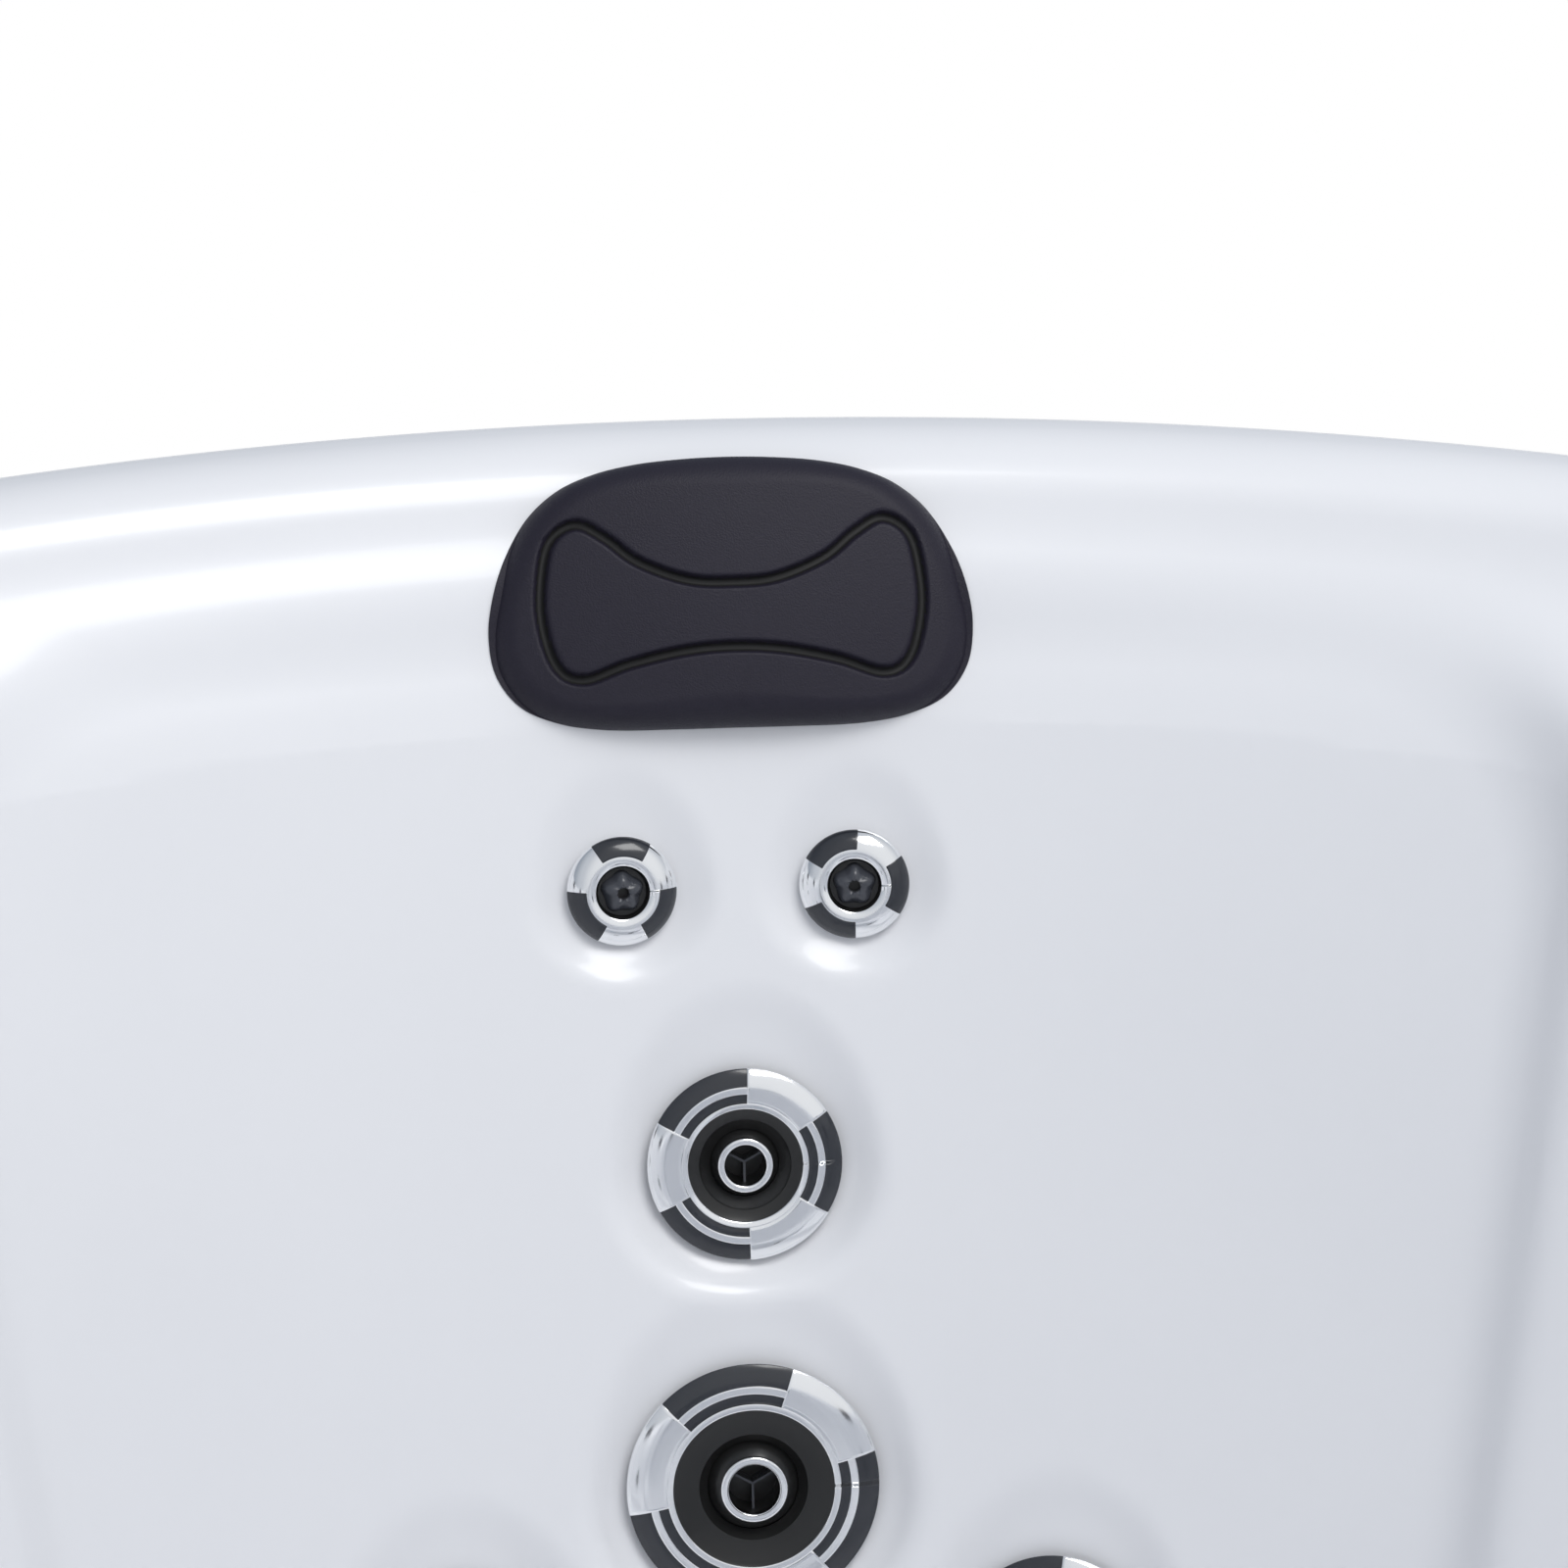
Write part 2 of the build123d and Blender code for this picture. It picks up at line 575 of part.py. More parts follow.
def nozzle(ball, ball_depth, tip_radius, tip_z, bore):
    """Aimed nozzle: a ball with a short spout."""
    solid = Pos(0, 0, -ball_depth) * Sphere(ball)
    solid += post(tip_radius, tip_z)
    solid -= Pos(0, 0, -ball_depth) * Cylinder(bore, 4 * ball)
    rear_z = -ball_depth - 0.7 * ball
    reach = 2 * ball
    return solid & block((-reach, -reach, rear_z), (reach, reach, tip_z))


def neck_face():
    """Small turning face with a five-lobed nozzle in its middle."""
    barrel = NECK_HOLE - HOLE_CLEARANCE - SLEEVE_WALL - RUNNING_GAP
    middle = 0.47 * NECK_FACE
    floor = FACE_FRONT - 4
    points = [(0, floor), (middle, floor), (middle, FACE_FRONT), (NECK_FACE - 2.5, FACE_FRONT)]
    points += [(NECK_FACE, FACE_BACK + 2), (NECK_FACE, FACE_BACK), (barrel, FACE_BACK)]
    points += [(barrel, NECK_SKIRT_Z), (0, NECK_SKIRT_Z)]
    face = turned_solid(points)
    lobes = post(NECK_STAR_RADIUS - NECK_STAR_LOBE, 6)
    for turn in range(5):
        step = Rot(0, 0, 72 * turn + 18) * Pos(NECK_STAR_RADIUS - NECK_STAR_LOBE, 0, 0)
        lobes += step * post(NECK_STAR_LOBE, 6)
    face += Pos(0, 0, floor - 0.5) * lobes
    face -= Cylinder(3.2, 80)
    inner, outer = [share * NECK_FACE for share in NECK_WINDOW_RING]
    for turn in range(3):
        face -= arc_window(inner, outer, 90 + 120 * turn)
    return face


def pillow_outline():
    """Edge of a pillow: arched top, bulging sides and a nearly flat bottom."""
    w = PILLOW_HALF_WIDTH
    top = PILLOW_TOP
    low = -PILLOW_BOTTOM
    right = [
        ThreePointArc((0, top), (0.42 * w, top - 4), (0.76 * w, top - 19)),
        ThreePointArc((0.76 * w, top - 19), (0.97 * w, top - 45), (w, -12)),
        ThreePointArc((w, -12), (0.96 * w, -43), (0.74 * w, low + 7)),
        ThreePointArc((0.74 * w, low + 7), (0.4 * w, low + 1), (0, low)),
    ]
    left = [edge.mirror(Plane.YZ) for edge in right]
    return make_face([*right, *left])


def pillow_crown(drop):
    """Large ball that bounds the front of a pillow, drop below its surface."""
    return Pos(0, 0, PILLOW_FRONT - PILLOW_CROWN) * Sphere(PILLOW_CROWN - drop)


def bow_tie():
    """Closed line of the groove on a pillow's front."""
    right = [
        ThreePointArc((0, 4.5), (36, 11), (70, 33)),
        ThreePointArc((70, 33), (86, 35), (92, 22)),
        ThreePointArc((92, 22), (95.5, -4), (92, -30)),
        ThreePointArc((92, -30), (85, -42), (70, -41)),
        ThreePointArc((70, -41), (36, -33), (0, -30)),
    ]
    left = [edge.mirror(Plane.YZ) for edge in right]
    return make_face([*right, *left])


def make_pillow():
    """Padded head rest of the +Y seat with two pins at its back."""
    prism = Pos(0, 0, -60) * extrude(pillow_outline(), 60 + PILLOW_FRONT + 5)
    pillow = prism & pillow_crown(0)
    front = pillow.faces().sort_by(Axis.Z)[-1]
    pillow = fillet(front.edges(), PILLOW_EDGE_ROUND)
    line = bow_tie()
    inner = offset(line, -GROOVE_WIDTH / 2)
    outer = offset(line, GROOVE_WIDTH / 2)
    ring = extrude(outer, 80) - extrude(inner, 80)
    pillow -= ring - pillow_crown(GROOVE_DEPTH)
    pillow = PILLOW_PLACE * pillow
    room = main_cavity(PILLOW_CLEARANCE) + seat_niche(PILLOW_CLEARANCE)
    room -= tube(TUB_RADIUS + ABOVE, RIM_CORNER_RADIUS - 3, TUB_HEIGHT - 3, TUB_HEIGHT + 2 * ABOVE)
    pillow = pillow & room
    for side in (-1, 1):
        pin = post(PILLOW_PIN_RADIUS, PILLOW_PIN_LENGTH + 8)
        pillow += PILLOW_PLACE * Pos(side * PILLOW_PIN_X, 0, -PILLOW_PIN_LENGTH) * pin
    return pillow


def filter_housing():
    """Open canister under the deck with a throat from the bath."""
    top = DECK_Z + FILTER_FLANGE_THICK
    points = [(0, FILTER_BOTTOM_Z), (FILTER_RADIUS, FILTER_BOTTOM_Z), (FILTER_RADIUS, DECK_Z)]
    points += [(FILTER_RADIUS + FILTER_FLANGE, DECK_Z), (FILTER_RADIUS + FILTER_FLANGE, top)]
    points += [(FILTER_RADIUS - FILTER_WALL, top)]
    points += [(FILTER_RADIUS - FILTER_WALL, FILTER_BOTTOM_Z + FILTER_WALL)]
    points += [(0, FILTER_BOTTOM_Z + FILTER_WALL)]
    housing = Pos(FILTER_X, FILTER_Y, 0) * turned_solid(points)
    near = CONSOLE_FACE_Y - SHELL_WALL - RUNNING_GAP
    housing += skimmer_mouth(THROAT_WALL, near, FILTER_Y + FILTER_RADIUS - 30)
    bore = Pos(FILTER_X, FILTER_Y, FILTER_BOTTOM_Z + FILTER_WALL)
    housing -= bore * post(FILTER_RADIUS - FILTER_WALL, 600)
    housing -= skimmer_mouth(0, near + 5, FILTER_Y)
    housing -= Pos(FILTER_X, FILTER_Y, FILTER_BOTTOM_Z) * Cylinder(CARTRIDGE_CORE, 40)
    return housing


def pleated_ring():
    """Cartridge paper as a many-pointed outline."""
    points = []
    for step in range(2 * PLEATS):
        radius = CARTRIDGE_RADIUS - 4 - PLEAT_DEPTH * (step % 2)
        angle = math.pi * step / PLEATS
        points.append((radius * math.cos(angle), radius * math.sin(angle)))
    return make_face(Polyline(*points, close=True))


def filter_cartridge():
    """Pleated paper filter between two end caps, on an open core."""
    low = FILTER_BOTTOM_Z + FILTER_WALL + RUNNING_GAP
    cap = 12.0
    solid = Pos(0, 0, low + cap) * extrude(pleated_ring(), CARTRIDGE_TOP_Z - low - 2 * cap)
    for z in (low, CARTRIDGE_TOP_Z - cap):
        solid += Pos(0, 0, z) * post(CARTRIDGE_RADIUS, cap)
    solid -= Pos(0, 0, low - 1) * post(CARTRIDGE_CORE, 400)
    return Pos(FILTER_X, FILTER_Y, 0) * solid


def filter_lid():
    """Round lid with a finger bar, on the housing's flange."""
    low = DECK_Z + FILTER_FLANGE_THICK + CABINET_GAP
    radius = FILTER_RADIUS + FILTER_FLANGE - 1
    plug = FILTER_RADIUS - FILTER_WALL - 1
    points = [(0, low - 6), (plug, low - 6), (plug, low)]
    points += [(radius, low), (radius, low + LID_THICK), (0, low + LID_THICK)]
    lid = turned_solid(points, [((radius, low + LID_THICK), 5)])
    for side in (-1, 1):
        scoop = Pos(0, side * 34, low + LID_THICK) * Box(90, 36, 2 * (LID_THICK - 5))
        lid -= fillet(scoop.edges().filter_by(Axis.Z), 12)
    return Pos(FILTER_X, FILTER_Y, 0) * lid


def weir_door():
    """Floating flap of the skimmer, with its pins at the bottom."""
    y = CONSOLE_FACE_Y - SHELL_WALL / 2
    low = MOUTH_LOW_Z + WEIR_GAP
    half = MOUTH_HALF_WIDTH - WEIR_GAP
    near = (FILTER_X - half, y - WEIR_THICK / 2, low)
    door = block(near, (FILTER_X + half, y + WEIR_THICK / 2, MOUTH_HIGH_Z - WEIR_GAP))
    hinge_z = low + WEIR_PIN_RADIUS + 1
    side = MOUTH_HALF_WIDTH - 0.3
    door += rod(WEIR_PIN_RADIUS, (FILTER_X - side, y, hinge_z), (FILTER_X + side, y, hinge_z))
    return door


def control_panel():
    """Raised bezel with wells for its keys and its display."""
    low = (PANEL_X - PANEL_WIDTH / 2, PANEL_Y - PANEL_DEPTH / 2, DECK_Z)
    high = (PANEL_X + PANEL_WIDTH / 2, PANEL_Y + PANEL_DEPTH / 2, DECK_Z + PANEL_THICK)
    panel = block(low, high)
    panel = fillet(panel.edges().filter_by(Axis.Z), 22)
    panel = fillet(panel.faces().sort_by(Axis.Z)[-1].edges(), 3)
    for x in BUTTON_X:
        panel -= key_block(x, BUTTON_GAP, DECK_Z - 1, DECK_Z + PANEL_THICK + 5)
        panel -= key_block(x, BUTTON_GAP + BUTTON_FLANGE, DECK_Z - 1, DECK_Z + PANEL_THICK - PANEL_SKIN)
    panel -= Pos(PANEL_X, PANEL_Y, DECK_Z + PANEL_THICK) * Box(DISPLAY_WIDTH + 1, DISPLAY_DEPTH + 1, 3)
    return panel


def key_block(x, grow, low, high):
    """Upright block of one key, grown on all sides."""
    half_x = BUTTON_WIDTH / 2 + grow
    half_y = BUTTON_DEPTH / 2 + grow
    centre = PANEL_X + x
    solid = block((centre - half_x, PANEL_Y - half_y, low), (centre + half_x, PANEL_Y + half_y, high))
    return fillet(solid.edges().filter_by(Axis.Z), min(6 + grow, 0.45 * BUTTON_WIDTH))


def key(x):
    """One key with the flange that keeps it in its well."""
    skin = DECK_Z + PANEL_THICK - PANEL_SKIN
    top = DECK_Z + PANEL_THICK + BUTTON_PROUD
    solid = key_block(x, 0, skin - 3, top)
    solid = fillet(solid.faces().sort_by(Axis.Z)[-1].edges(), 1.2)
    return solid + key_block(x, BUTTON_FLANGE - 0.5, skin - 3, skin - RUNNING_GAP)


def display_lens():
    top = DECK_Z + PANEL_THICK
    lens = Pos(PANEL_X, PANEL_Y, top - 0.6) * Box(DISPLAY_WIDTH, DISPLAY_DEPTH, 1.6)
    return fillet(lens.edges().filter_by(Axis.Z), 4)


def knob(x, y, radius):
    """Gripped knob with its stem."""
    low = DECK_Z + 4
    points = [(0, low), (radius, low), (radius - 3, low + KNOB_HEIGHT), (0, low + KNOB_HEIGHT)]
    solid = turned_solid(points, [((radius - 3, low + KNOB_HEIGHT), 4)])
    for turn in range(KNOB_GRIPS):
        place = Rot(0, 0, 360 / KNOB_GRIPS * turn) * Pos(radius + 0.28 * radius, 0, low + 6)
        solid -= place * post(0.42 * radius, KNOB_HEIGHT)
    solid += Pos(0, 0, low - STEM_LENGTH) * post(STEM_RADIUS, STEM_LENGTH)
    top = low + KNOB_HEIGHT
    solid += Rot(0, 0, 90) * block((8, -2.5, top - 1), (radius - 8, 2.5, top + 1.5))
    return Pos(x, y, 0) * solid


def valve_body(x, y):
    """Valve under the deck, clamped by its collar."""
    bore = STEM_RADIUS + 0.6
    low = DECK_LOW_Z - VALVE_DEPTH
    collar = DECK_Z + 3.5
    points = [(bore, collar), (bore, low + 6), (0, low + 6), (0, low), (VALVE_RADIUS, low)]
    points += [(VALVE_RADIUS, DECK_LOW_Z - 1), (VALVE_SLEEVE, DECK_LOW_Z - 1), (VALVE_SLEEVE, DECK_Z)]
    points += [(VALVE_SLEEVE + 5, DECK_Z), (VALVE_SLEEVE + 5, collar)]
    solid = turned_solid(points)
    solid += Pos(0, 0, low + 28) * Rot(0, 90, 0) * Cylinder(16, 2 * VALVE_RADIUS + 24)
    solid -= Pos(0, 0, low + 6) * post(bore, 200)
    return Pos(x, y, 0) * solid


def cabinet_sector(inner, outer, low, high, half_angle):
    """Curved board about the +Y direction."""
    return tube(outer, inner, low, high) & sector(half_angle, low, high)


def panel_sector(half_angle):
    """Curved sheet of the cabinet about the +Y direction."""
    low = CABINET_LOW_Z + CABINET_GAP
    return cabinet_sector(PANEL_INNER_RADIUS, PANEL_OUTER_RADIUS, low, CABINET_HIGH_Z, half_angle)


def skirt_panel():
    """Cabinet panel of one side with its upright board grooves."""
    return panel_sector(STATION_STEP / 2 - PANEL_JOINT_GAP) - board_grooves()


def board_grooves():
    grooves = []
    step = (STATION_STEP - 2 * JOINT_HALF_ANGLE) / (BOARD_GROOVES + 1)
    for index in range(BOARD_GROOVES):
        angle = -STATION_STEP / 2 + JOINT_HALF_ANGLE + step * (index + 1)
        cutter = Pos(0, PANEL_OUTER_RADIUS + 1, 0) * Cylinder(BOARD_GROOVE_RADIUS, 2400)
        grooves.append(Rot(0, 0, angle) * cutter)
    return grooves


def access_panel():
    """Front cabinet panel, which pulls straight out by its hand hold."""
    panel = panel_sector(STATION_STEP / 2 - JOINT_HALF_ANGLE - ACCESS_GAP) - board_grooves()
    hold = Pos(0, PANEL_OUTER_RADIUS, HANDLE_Z) * Box(HANDLE_WIDTH, 2 * HANDLE_DEPTH, HANDLE_HEIGHT)
    panel -= fillet(hold.edges().filter_by(Axis.Y), 12)
    return turned(panel, -90)


def joint_filler():
    """Narrow strip of panel beside the front panel's edge."""
    narrow = panel_sector(JOINT_HALF_ANGLE)
    return narrow & block((0, 0, 0), (TUB_RADIUS, TUB_RADIUS, TUB_HEIGHT))


def panel_trim():
    """Upright cover strip over a joint between two panels."""
    inner = PANEL_OUTER_RADIUS + CABINET_GAP
    low = CABINET_LOW_Z + CABINET_GAP
    return cabinet_sector(inner, inner + TRIM_THICK, low, CABINET_HIGH_Z, JOINT_HALF_ANGLE)


def base_pan():
    """Moulded base: floor, plinth wall and the ledge under the panels."""
    ledge = PANEL_OUTER_RADIUS + TRIM_THICK
    pad = FLOOR_Z - SHELL_WALL - CABINET_GAP
    points = [(0, 0), (PLINTH_RADIUS, 0), (PLINTH_RADIUS, PLINTH_LEDGE_Z), (ledge, PLINTH_LEDGE_Z)]
    inner = PLINTH_RADIUS - PAN_WALL
    points += [(ledge, CABINET_LOW_Z), (inner, CABINET_LOW_Z), (inner, PAN_THICK)]
    points += [(FOOTWELL_FLOOR_RADIUS, PAN_THICK), (FOOTWELL_FLOOR_RADIUS, pad)]
    points += [(FLOOR_DRAIN_RADIUS, pad), (FLOOR_DRAIN_RADIUS, PAN_THICK), (0, PAN_THICK)]
    pan = turned_solid(points)
    pan -= rod(DRAIN_SHANK_RADIUS + HOLE_CLEARANCE, (0, DRAIN_START_Y, DRAIN_Z), (0, -TUB_RADIUS, DRAIN_Z))
    return pan


def frame_rings():
    """Ring on the base that carries the posts, and a narrower one under the rim."""
    top = FLANGE_LOW_Z - CABINET_GAP
    lower = tube(FRAME_OUTER_RADIUS, FRAME_INNER_RADIUS, CABINET_LOW_Z, CABINET_LOW_Z + FRAME_RING_HEIGHT)
    return [lower, tube(FRAME_OUTER_RADIUS, TOP_RING_INNER_RADIUS, top - FRAME_RING_HEIGHT, top)]


def frame_posts():
    """Six posts at the panel joints, with saddles for the ring main."""
    posts = []
    half = POST_WIDTH / 2
    low = CABINET_LOW_Z + FRAME_RING_HEIGHT
    high = FLANGE_LOW_Z - CABINET_GAP - FRAME_RING_HEIGHT
    for index in range(6):
        upright = block((-half, FRAME_INNER_RADIUS, low), (half, FRAME_OUTER_RADIUS - 1, high))
        near = (-half, RING_MAIN_RADIUS, RING_MAIN_Z - SADDLE_HEIGHT)
        saddle = block(near, (half, FRAME_INNER_RADIUS + 1, RING_MAIN_Z + SADDLE_HEIGHT))
        saddle -= ring_main_pipe(RING_MAIN_PIPE + CABINET_GAP)
        posts.append(Rot(0, 0, STATION_STEP * (index + 0.5)) * (upright + saddle))
    return posts


def ring_main_pipe(pipe):
    return Pos(0, 0, RING_MAIN_Z) * Torus(RING_MAIN_RADIUS, pipe)


def pump_motor():
    """Motor on its foot, with cooling fins."""
    left = -MOTOR_LENGTH
    motor = rod(MOTOR_RADIUS, (left, PUMP_Y, PUMP_Z), (0, PUMP_Y, PUMP_Z))
    for index in range(MOTOR_FINS):
        x = left + 30 + index * (MOTOR_LENGTH - 60) / (MOTOR_FINS - 1)
        motor += rod(MOTOR_RADIUS + 6, (x, PUMP_Y, PUMP_Z), (x + 6, PUMP_Y, PUMP_Z))
    near = (left + 20, PUMP_Y - FOOT_WIDTH / 2, PAN_THICK)
    motor += block(near, (-20, PUMP_Y + FOOT_WIDTH / 2, PUMP_Z - MOTOR_RADIUS + 25))
    return motor


def pump_wet_end():
    """Volute in front of the motor with its inlet and outlet."""
    right = VOLUTE_LENGTH
    wet = rod(VOLUTE_RADIUS, (0, PUMP_Y, PUMP_Z), (right, PUMP_Y, PUMP_Z))
    wet += rod(30, (right - 1, PUMP_Y, PUMP_Z), (right + 50, PUMP_Y, PUMP_Z))
    wet += rod(26, (right / 2, PUMP_Y + 50, PUMP_Z), (right / 2, PUMP_Y + 50, PUMP_Z + 112))
    return wet


def heater():
    """Heater tube on two stands."""
    half = HEATER_LENGTH / 2
    solid = rod(HEATER_RADIUS, (-half, HEATER_Y, HEATER_Z), (half, HEATER_Y, HEATER_Z))
    for side in (-1, 1):
        x = side * (half - 30)
        solid += rod(HEATER_RADIUS + 10, (x - 10, HEATER_Y, HEATER_Z), (x + 10, HEATER_Y, HEATER_Z))
        solid += block((x - 10, HEATER_Y - 24, PAN_THICK), (x + 10, HEATER_Y + 24, HEATER_Z))
    return solid


def control_box():
    """Electrics box standing on the base."""
    width, depth, height = BOX_SIZE
    near = (BOX_X - width / 2, BOX_Y - depth / 2, PAN_THICK)
    box = block(near, (BOX_X + width / 2, BOX_Y + depth / 2, PAN_THICK + height))
    return fillet(box.edges().filter_by(Axis.Z), 8)


def wall_fitting(radius, slots, tail=SHELL_WALL + 30):
    """Dome with a threaded tail for the footwell's wall."""
    dome = turned_solid([(0, 0), (radius, 0), (radius - 4, 7), (radius / 2, 12), (0, 13)])
    dome += Pos(0, 0, -tail) * post(SUCTION_SLEEVE, tail + 1)
    for index in range(slots):
        place = Rot(0, 0, 360 / slots * index) * Pos(0.62 * radius, 0, 12)
        dome -= place * Box(0.45 * radius, 4, 9)
    return dome


def drain_valve():
    """Drain valve: a thick shank through the plinth and a spigot for a hose outside it."""
    shank = rod(DRAIN_SHANK_RADIUS, (0, DRAIN_START_Y, DRAIN_Z), (0, DRAIN_SHOULDER_Y, DRAIN_Z))
    spigot = rod(DRAIN_RADIUS, (0, DRAIN_START_Y, DRAIN_Z), (0, DRAIN_END_Y, DRAIN_Z))
    bore = rod(DRAIN_RADIUS - DRAIN_WALL, (0, DRAIN_START_Y + 1, DRAIN_Z), (0, DRAIN_END_Y - 1, DRAIN_Z))
    return shank + spigot - bore


def save(name, solids):
    """Writes one sub-part, as one solid or a group of separate ones."""
    group = list(solids) if isinstance(solids, (list, tuple)) else [solids]
    pieces = []
    for item in group:
        pieces.extend(item.solids())
    shape = pieces[0] if len(pieces) == 1 else Compound(children=pieces)
    export_step(shape, os.path.join("parts", name + ".step"))


def save_cabinet():
    panels = [turned(skirt_panel(), azimuth) for azimuth in SEATS]
    hole = rod(CONDUIT_RADIUS, (0, FRAME_INNER_RADIUS, CONDUIT_Z), (0, TUB_RADIUS, CONDUIT_Z))
    panels = [panel - turned(hole, CONDUIT_AZIMUTH) for panel in panels]
    filler = joint_filler()
    panels += [Rot(0, 0, 210) * filler, Rot(0, 0, 150) * filler.mirror(Plane.YZ)]
    save("skirt_panels", panels)
    save("access_panel", access_panel())
    save("panel_trims", [Rot(0, 0, STATION_STEP * (index + 0.5)) * panel_trim() for index in range(6)])
    save("base_pan", base_pan())
    save("frame_rings", frame_rings())
    save("frame_posts", frame_posts())


def save_turning_jet(jet):
    """Turning face of one jet and, on the larger ones, its aimed nozzle."""
    if jet.kind == "neck":
        save(jet.name, jet.place * neck_face())
        return
    if jet.kind == "mid":
        face = turning_face(MID_FACE, MID_HOLE, MID_BALL, MID_BALL_DEPTH, MID_SKIRT_Z, 0)
        aimed = nozzle(MID_BALL, MID_BALL_DEPTH, MID_TIP_RADIUS, MID_TIP_Z, MID_BORE)
    else:
        sizes = (POWER_FACE, POWER_HOLE, POWER_BALL, POWER_BALL_DEPTH)
        face = turning_face(*sizes, POWER_SKIRT_Z, POWER_FIRST_WINDOW)
        aimed = nozzle(POWER_BALL, POWER_BALL_DEPTH, POWER_TIP_RADIUS, POWER_TIP_Z, POWER_BORE)
    save(jet.name + "_face", jet.place * face)
    save(jet.name + "_nozzle", jet.place * aimed)


def save_jets():
    bodies = {"neck": [], "mid": [], "power": []}
    gaskets = []
    for jet in JETS:
        bodies[jet.kind].append(jet.place * jet_body(jet.hole, jet.face_radius, jet.body_depth))
        gaskets.append(jet.place * jet_gasket(jet.hole, jet.face_radius))
        save_turning_jet(jet)
    for kind, group in bodies.items():
        save(kind + "_jet_bodies", group)
    save("jet_gaskets", gaskets)
    save("feed_pipes", feed_pipes())


def feed_pipes():
    """Straight pipes from the ring main to the back of each jet."""
    main = ring_main_pipe(RING_MAIN_PIPE + 0.05)
    pipes = []
    for jet in JETS:
        middle = (jet.place * Pos(0, 0, -jet.body_depth - 4)).position
        radial = Vector(middle.X, middle.Y, 0).normalized()
        start = radial * RING_MAIN_RADIUS + Vector(0, 0, RING_MAIN_Z)
        pipe = rod(FEED_PIPE, tuple(start), tuple(middle))
        pipe -= main
        pipe -= jet.place * Pos(0, 0, -jet.body_depth - 0.05) * post(jet.hole - HOLE_CLEARANCE + 0.05, 200)
        largest = pipe.solids().sort_by(lambda item: item.volume)[-1]
        pipes.append(largest)
    return pipes


def save_equipment():
    save("water_ring_main", ring_main_pipe(RING_MAIN_PIPE))
    save("pump_motor", pump_motor())
    save("pump_wet_end", pump_wet_end())
    save("heater", heater())
    save("control_box", control_box())
    covers = []
    for azimuth in SUCTION_AZIMUTHS:
        place = wall_fitting_place(azimuth, SUCTION_Z, SUCTION_RADIUS)
        covers.append(place * wall_fitting(SUCTION_RADIUS, SUCTION_SLOTS))
    covers.append(Pos(0, 0, FLOOR_Z) * wall_fitting(FLOOR_DRAIN_RADIUS, 8, SHELL_WALL + 4))
    save("suction_covers", covers)
    light = wall_fitting_place(LIGHT_AZIMUTH, LIGHT_Z, LIGHT_RADIUS)
    save("light_lens", light * wall_fitting(LIGHT_RADIUS, 0))
    save("drain_valve", drain_valve())


def save_console():
    save("filter_housing", filter_housing())
    save("filter_cartridge", filter_cartridge())
    save("filter_lid", filter_lid())
    save("weir_door", weir_door())
    save("control_panel", control_panel())
    save("display_lens", display_lens())
    for index, x in enumerate(BUTTON_X):
        save("control_key_%d" % (index + 1), key(x))
    save("diverter_knob", knob(DIVERTER_X, DIVERTER_Y, DIVERTER_RADIUS))
    save("air_knob", knob(AIR_X, AIR_Y, AIR_RADIUS))
    save("valve_bodies", [valve_body(DIVERTER_X, DIVERTER_Y), valve_body(AIR_X, AIR_Y)])


def save_pillows():
    pillow = make_pillow()
    names = ("pillow", "east_pillow", "west_pillow", "east_front_pillow", "west_front_pillow")
    for name, azimuth in zip(names, SEATS):
        save(name, turned(pillow, azimuth))


save("tub_shell", make_shell())
save_cabinet()
save_jets()
save_equipment()
save_console()
save_pillows()
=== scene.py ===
import json
import math

import bmesh
import bpy
import numpy as np
from mathutils import Matrix, Vector


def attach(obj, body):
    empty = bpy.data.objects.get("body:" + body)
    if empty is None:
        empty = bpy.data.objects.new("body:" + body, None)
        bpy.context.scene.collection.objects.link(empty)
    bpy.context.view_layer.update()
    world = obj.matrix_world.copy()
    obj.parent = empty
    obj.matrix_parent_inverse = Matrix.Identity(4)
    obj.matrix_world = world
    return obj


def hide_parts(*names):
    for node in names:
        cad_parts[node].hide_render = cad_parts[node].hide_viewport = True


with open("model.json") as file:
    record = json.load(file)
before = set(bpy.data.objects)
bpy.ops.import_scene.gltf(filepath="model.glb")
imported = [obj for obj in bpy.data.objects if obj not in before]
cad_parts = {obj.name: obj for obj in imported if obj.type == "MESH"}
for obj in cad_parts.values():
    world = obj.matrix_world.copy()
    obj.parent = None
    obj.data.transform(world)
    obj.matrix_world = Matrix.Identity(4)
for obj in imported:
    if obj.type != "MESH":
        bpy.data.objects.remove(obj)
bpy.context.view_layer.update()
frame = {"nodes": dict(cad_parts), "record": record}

# Sizes in metres, as in the frame
TUB_RADIUS = 1.050
TUB_HEIGHT = 0.965
RIM_CORNER_RADIUS = 1.000
RIM_CORNER_Z = TUB_HEIGHT - 0.001
RIM_INNER_ROUND = 0.026
RIM_OUTER_ROUND = 0.016
LIP_LOW_Z = TUB_HEIGHT - 0.045
LIP_WALL = 0.008
LIP_INNER_RADIUS = 1.012
SHELL_WALL = 0.026
UPPER_WALL = 0.010
FLANGE_LOW_Z = TUB_HEIGHT - SHELL_WALL
UPPER_TAN = math.tan(math.radians(27.0))
BACK_ANGLE = math.radians(20.0)
BACK_TAN = math.tan(BACK_ANGLE)
BACK_BREAK_Z = 0.838
BACK_BREAK_RADIUS = RIM_CORNER_RADIUS - (RIM_CORNER_Z - BACK_BREAK_Z) * UPPER_TAN
RIDGE_PROUD = 0.038
SHOULDER_RADIUS = 0.945
SHOULDER_Z = 0.889
SHOULDER_SLOPE = 0.336
SEAT_Z = 0.295
BENCH_Z = 0.370
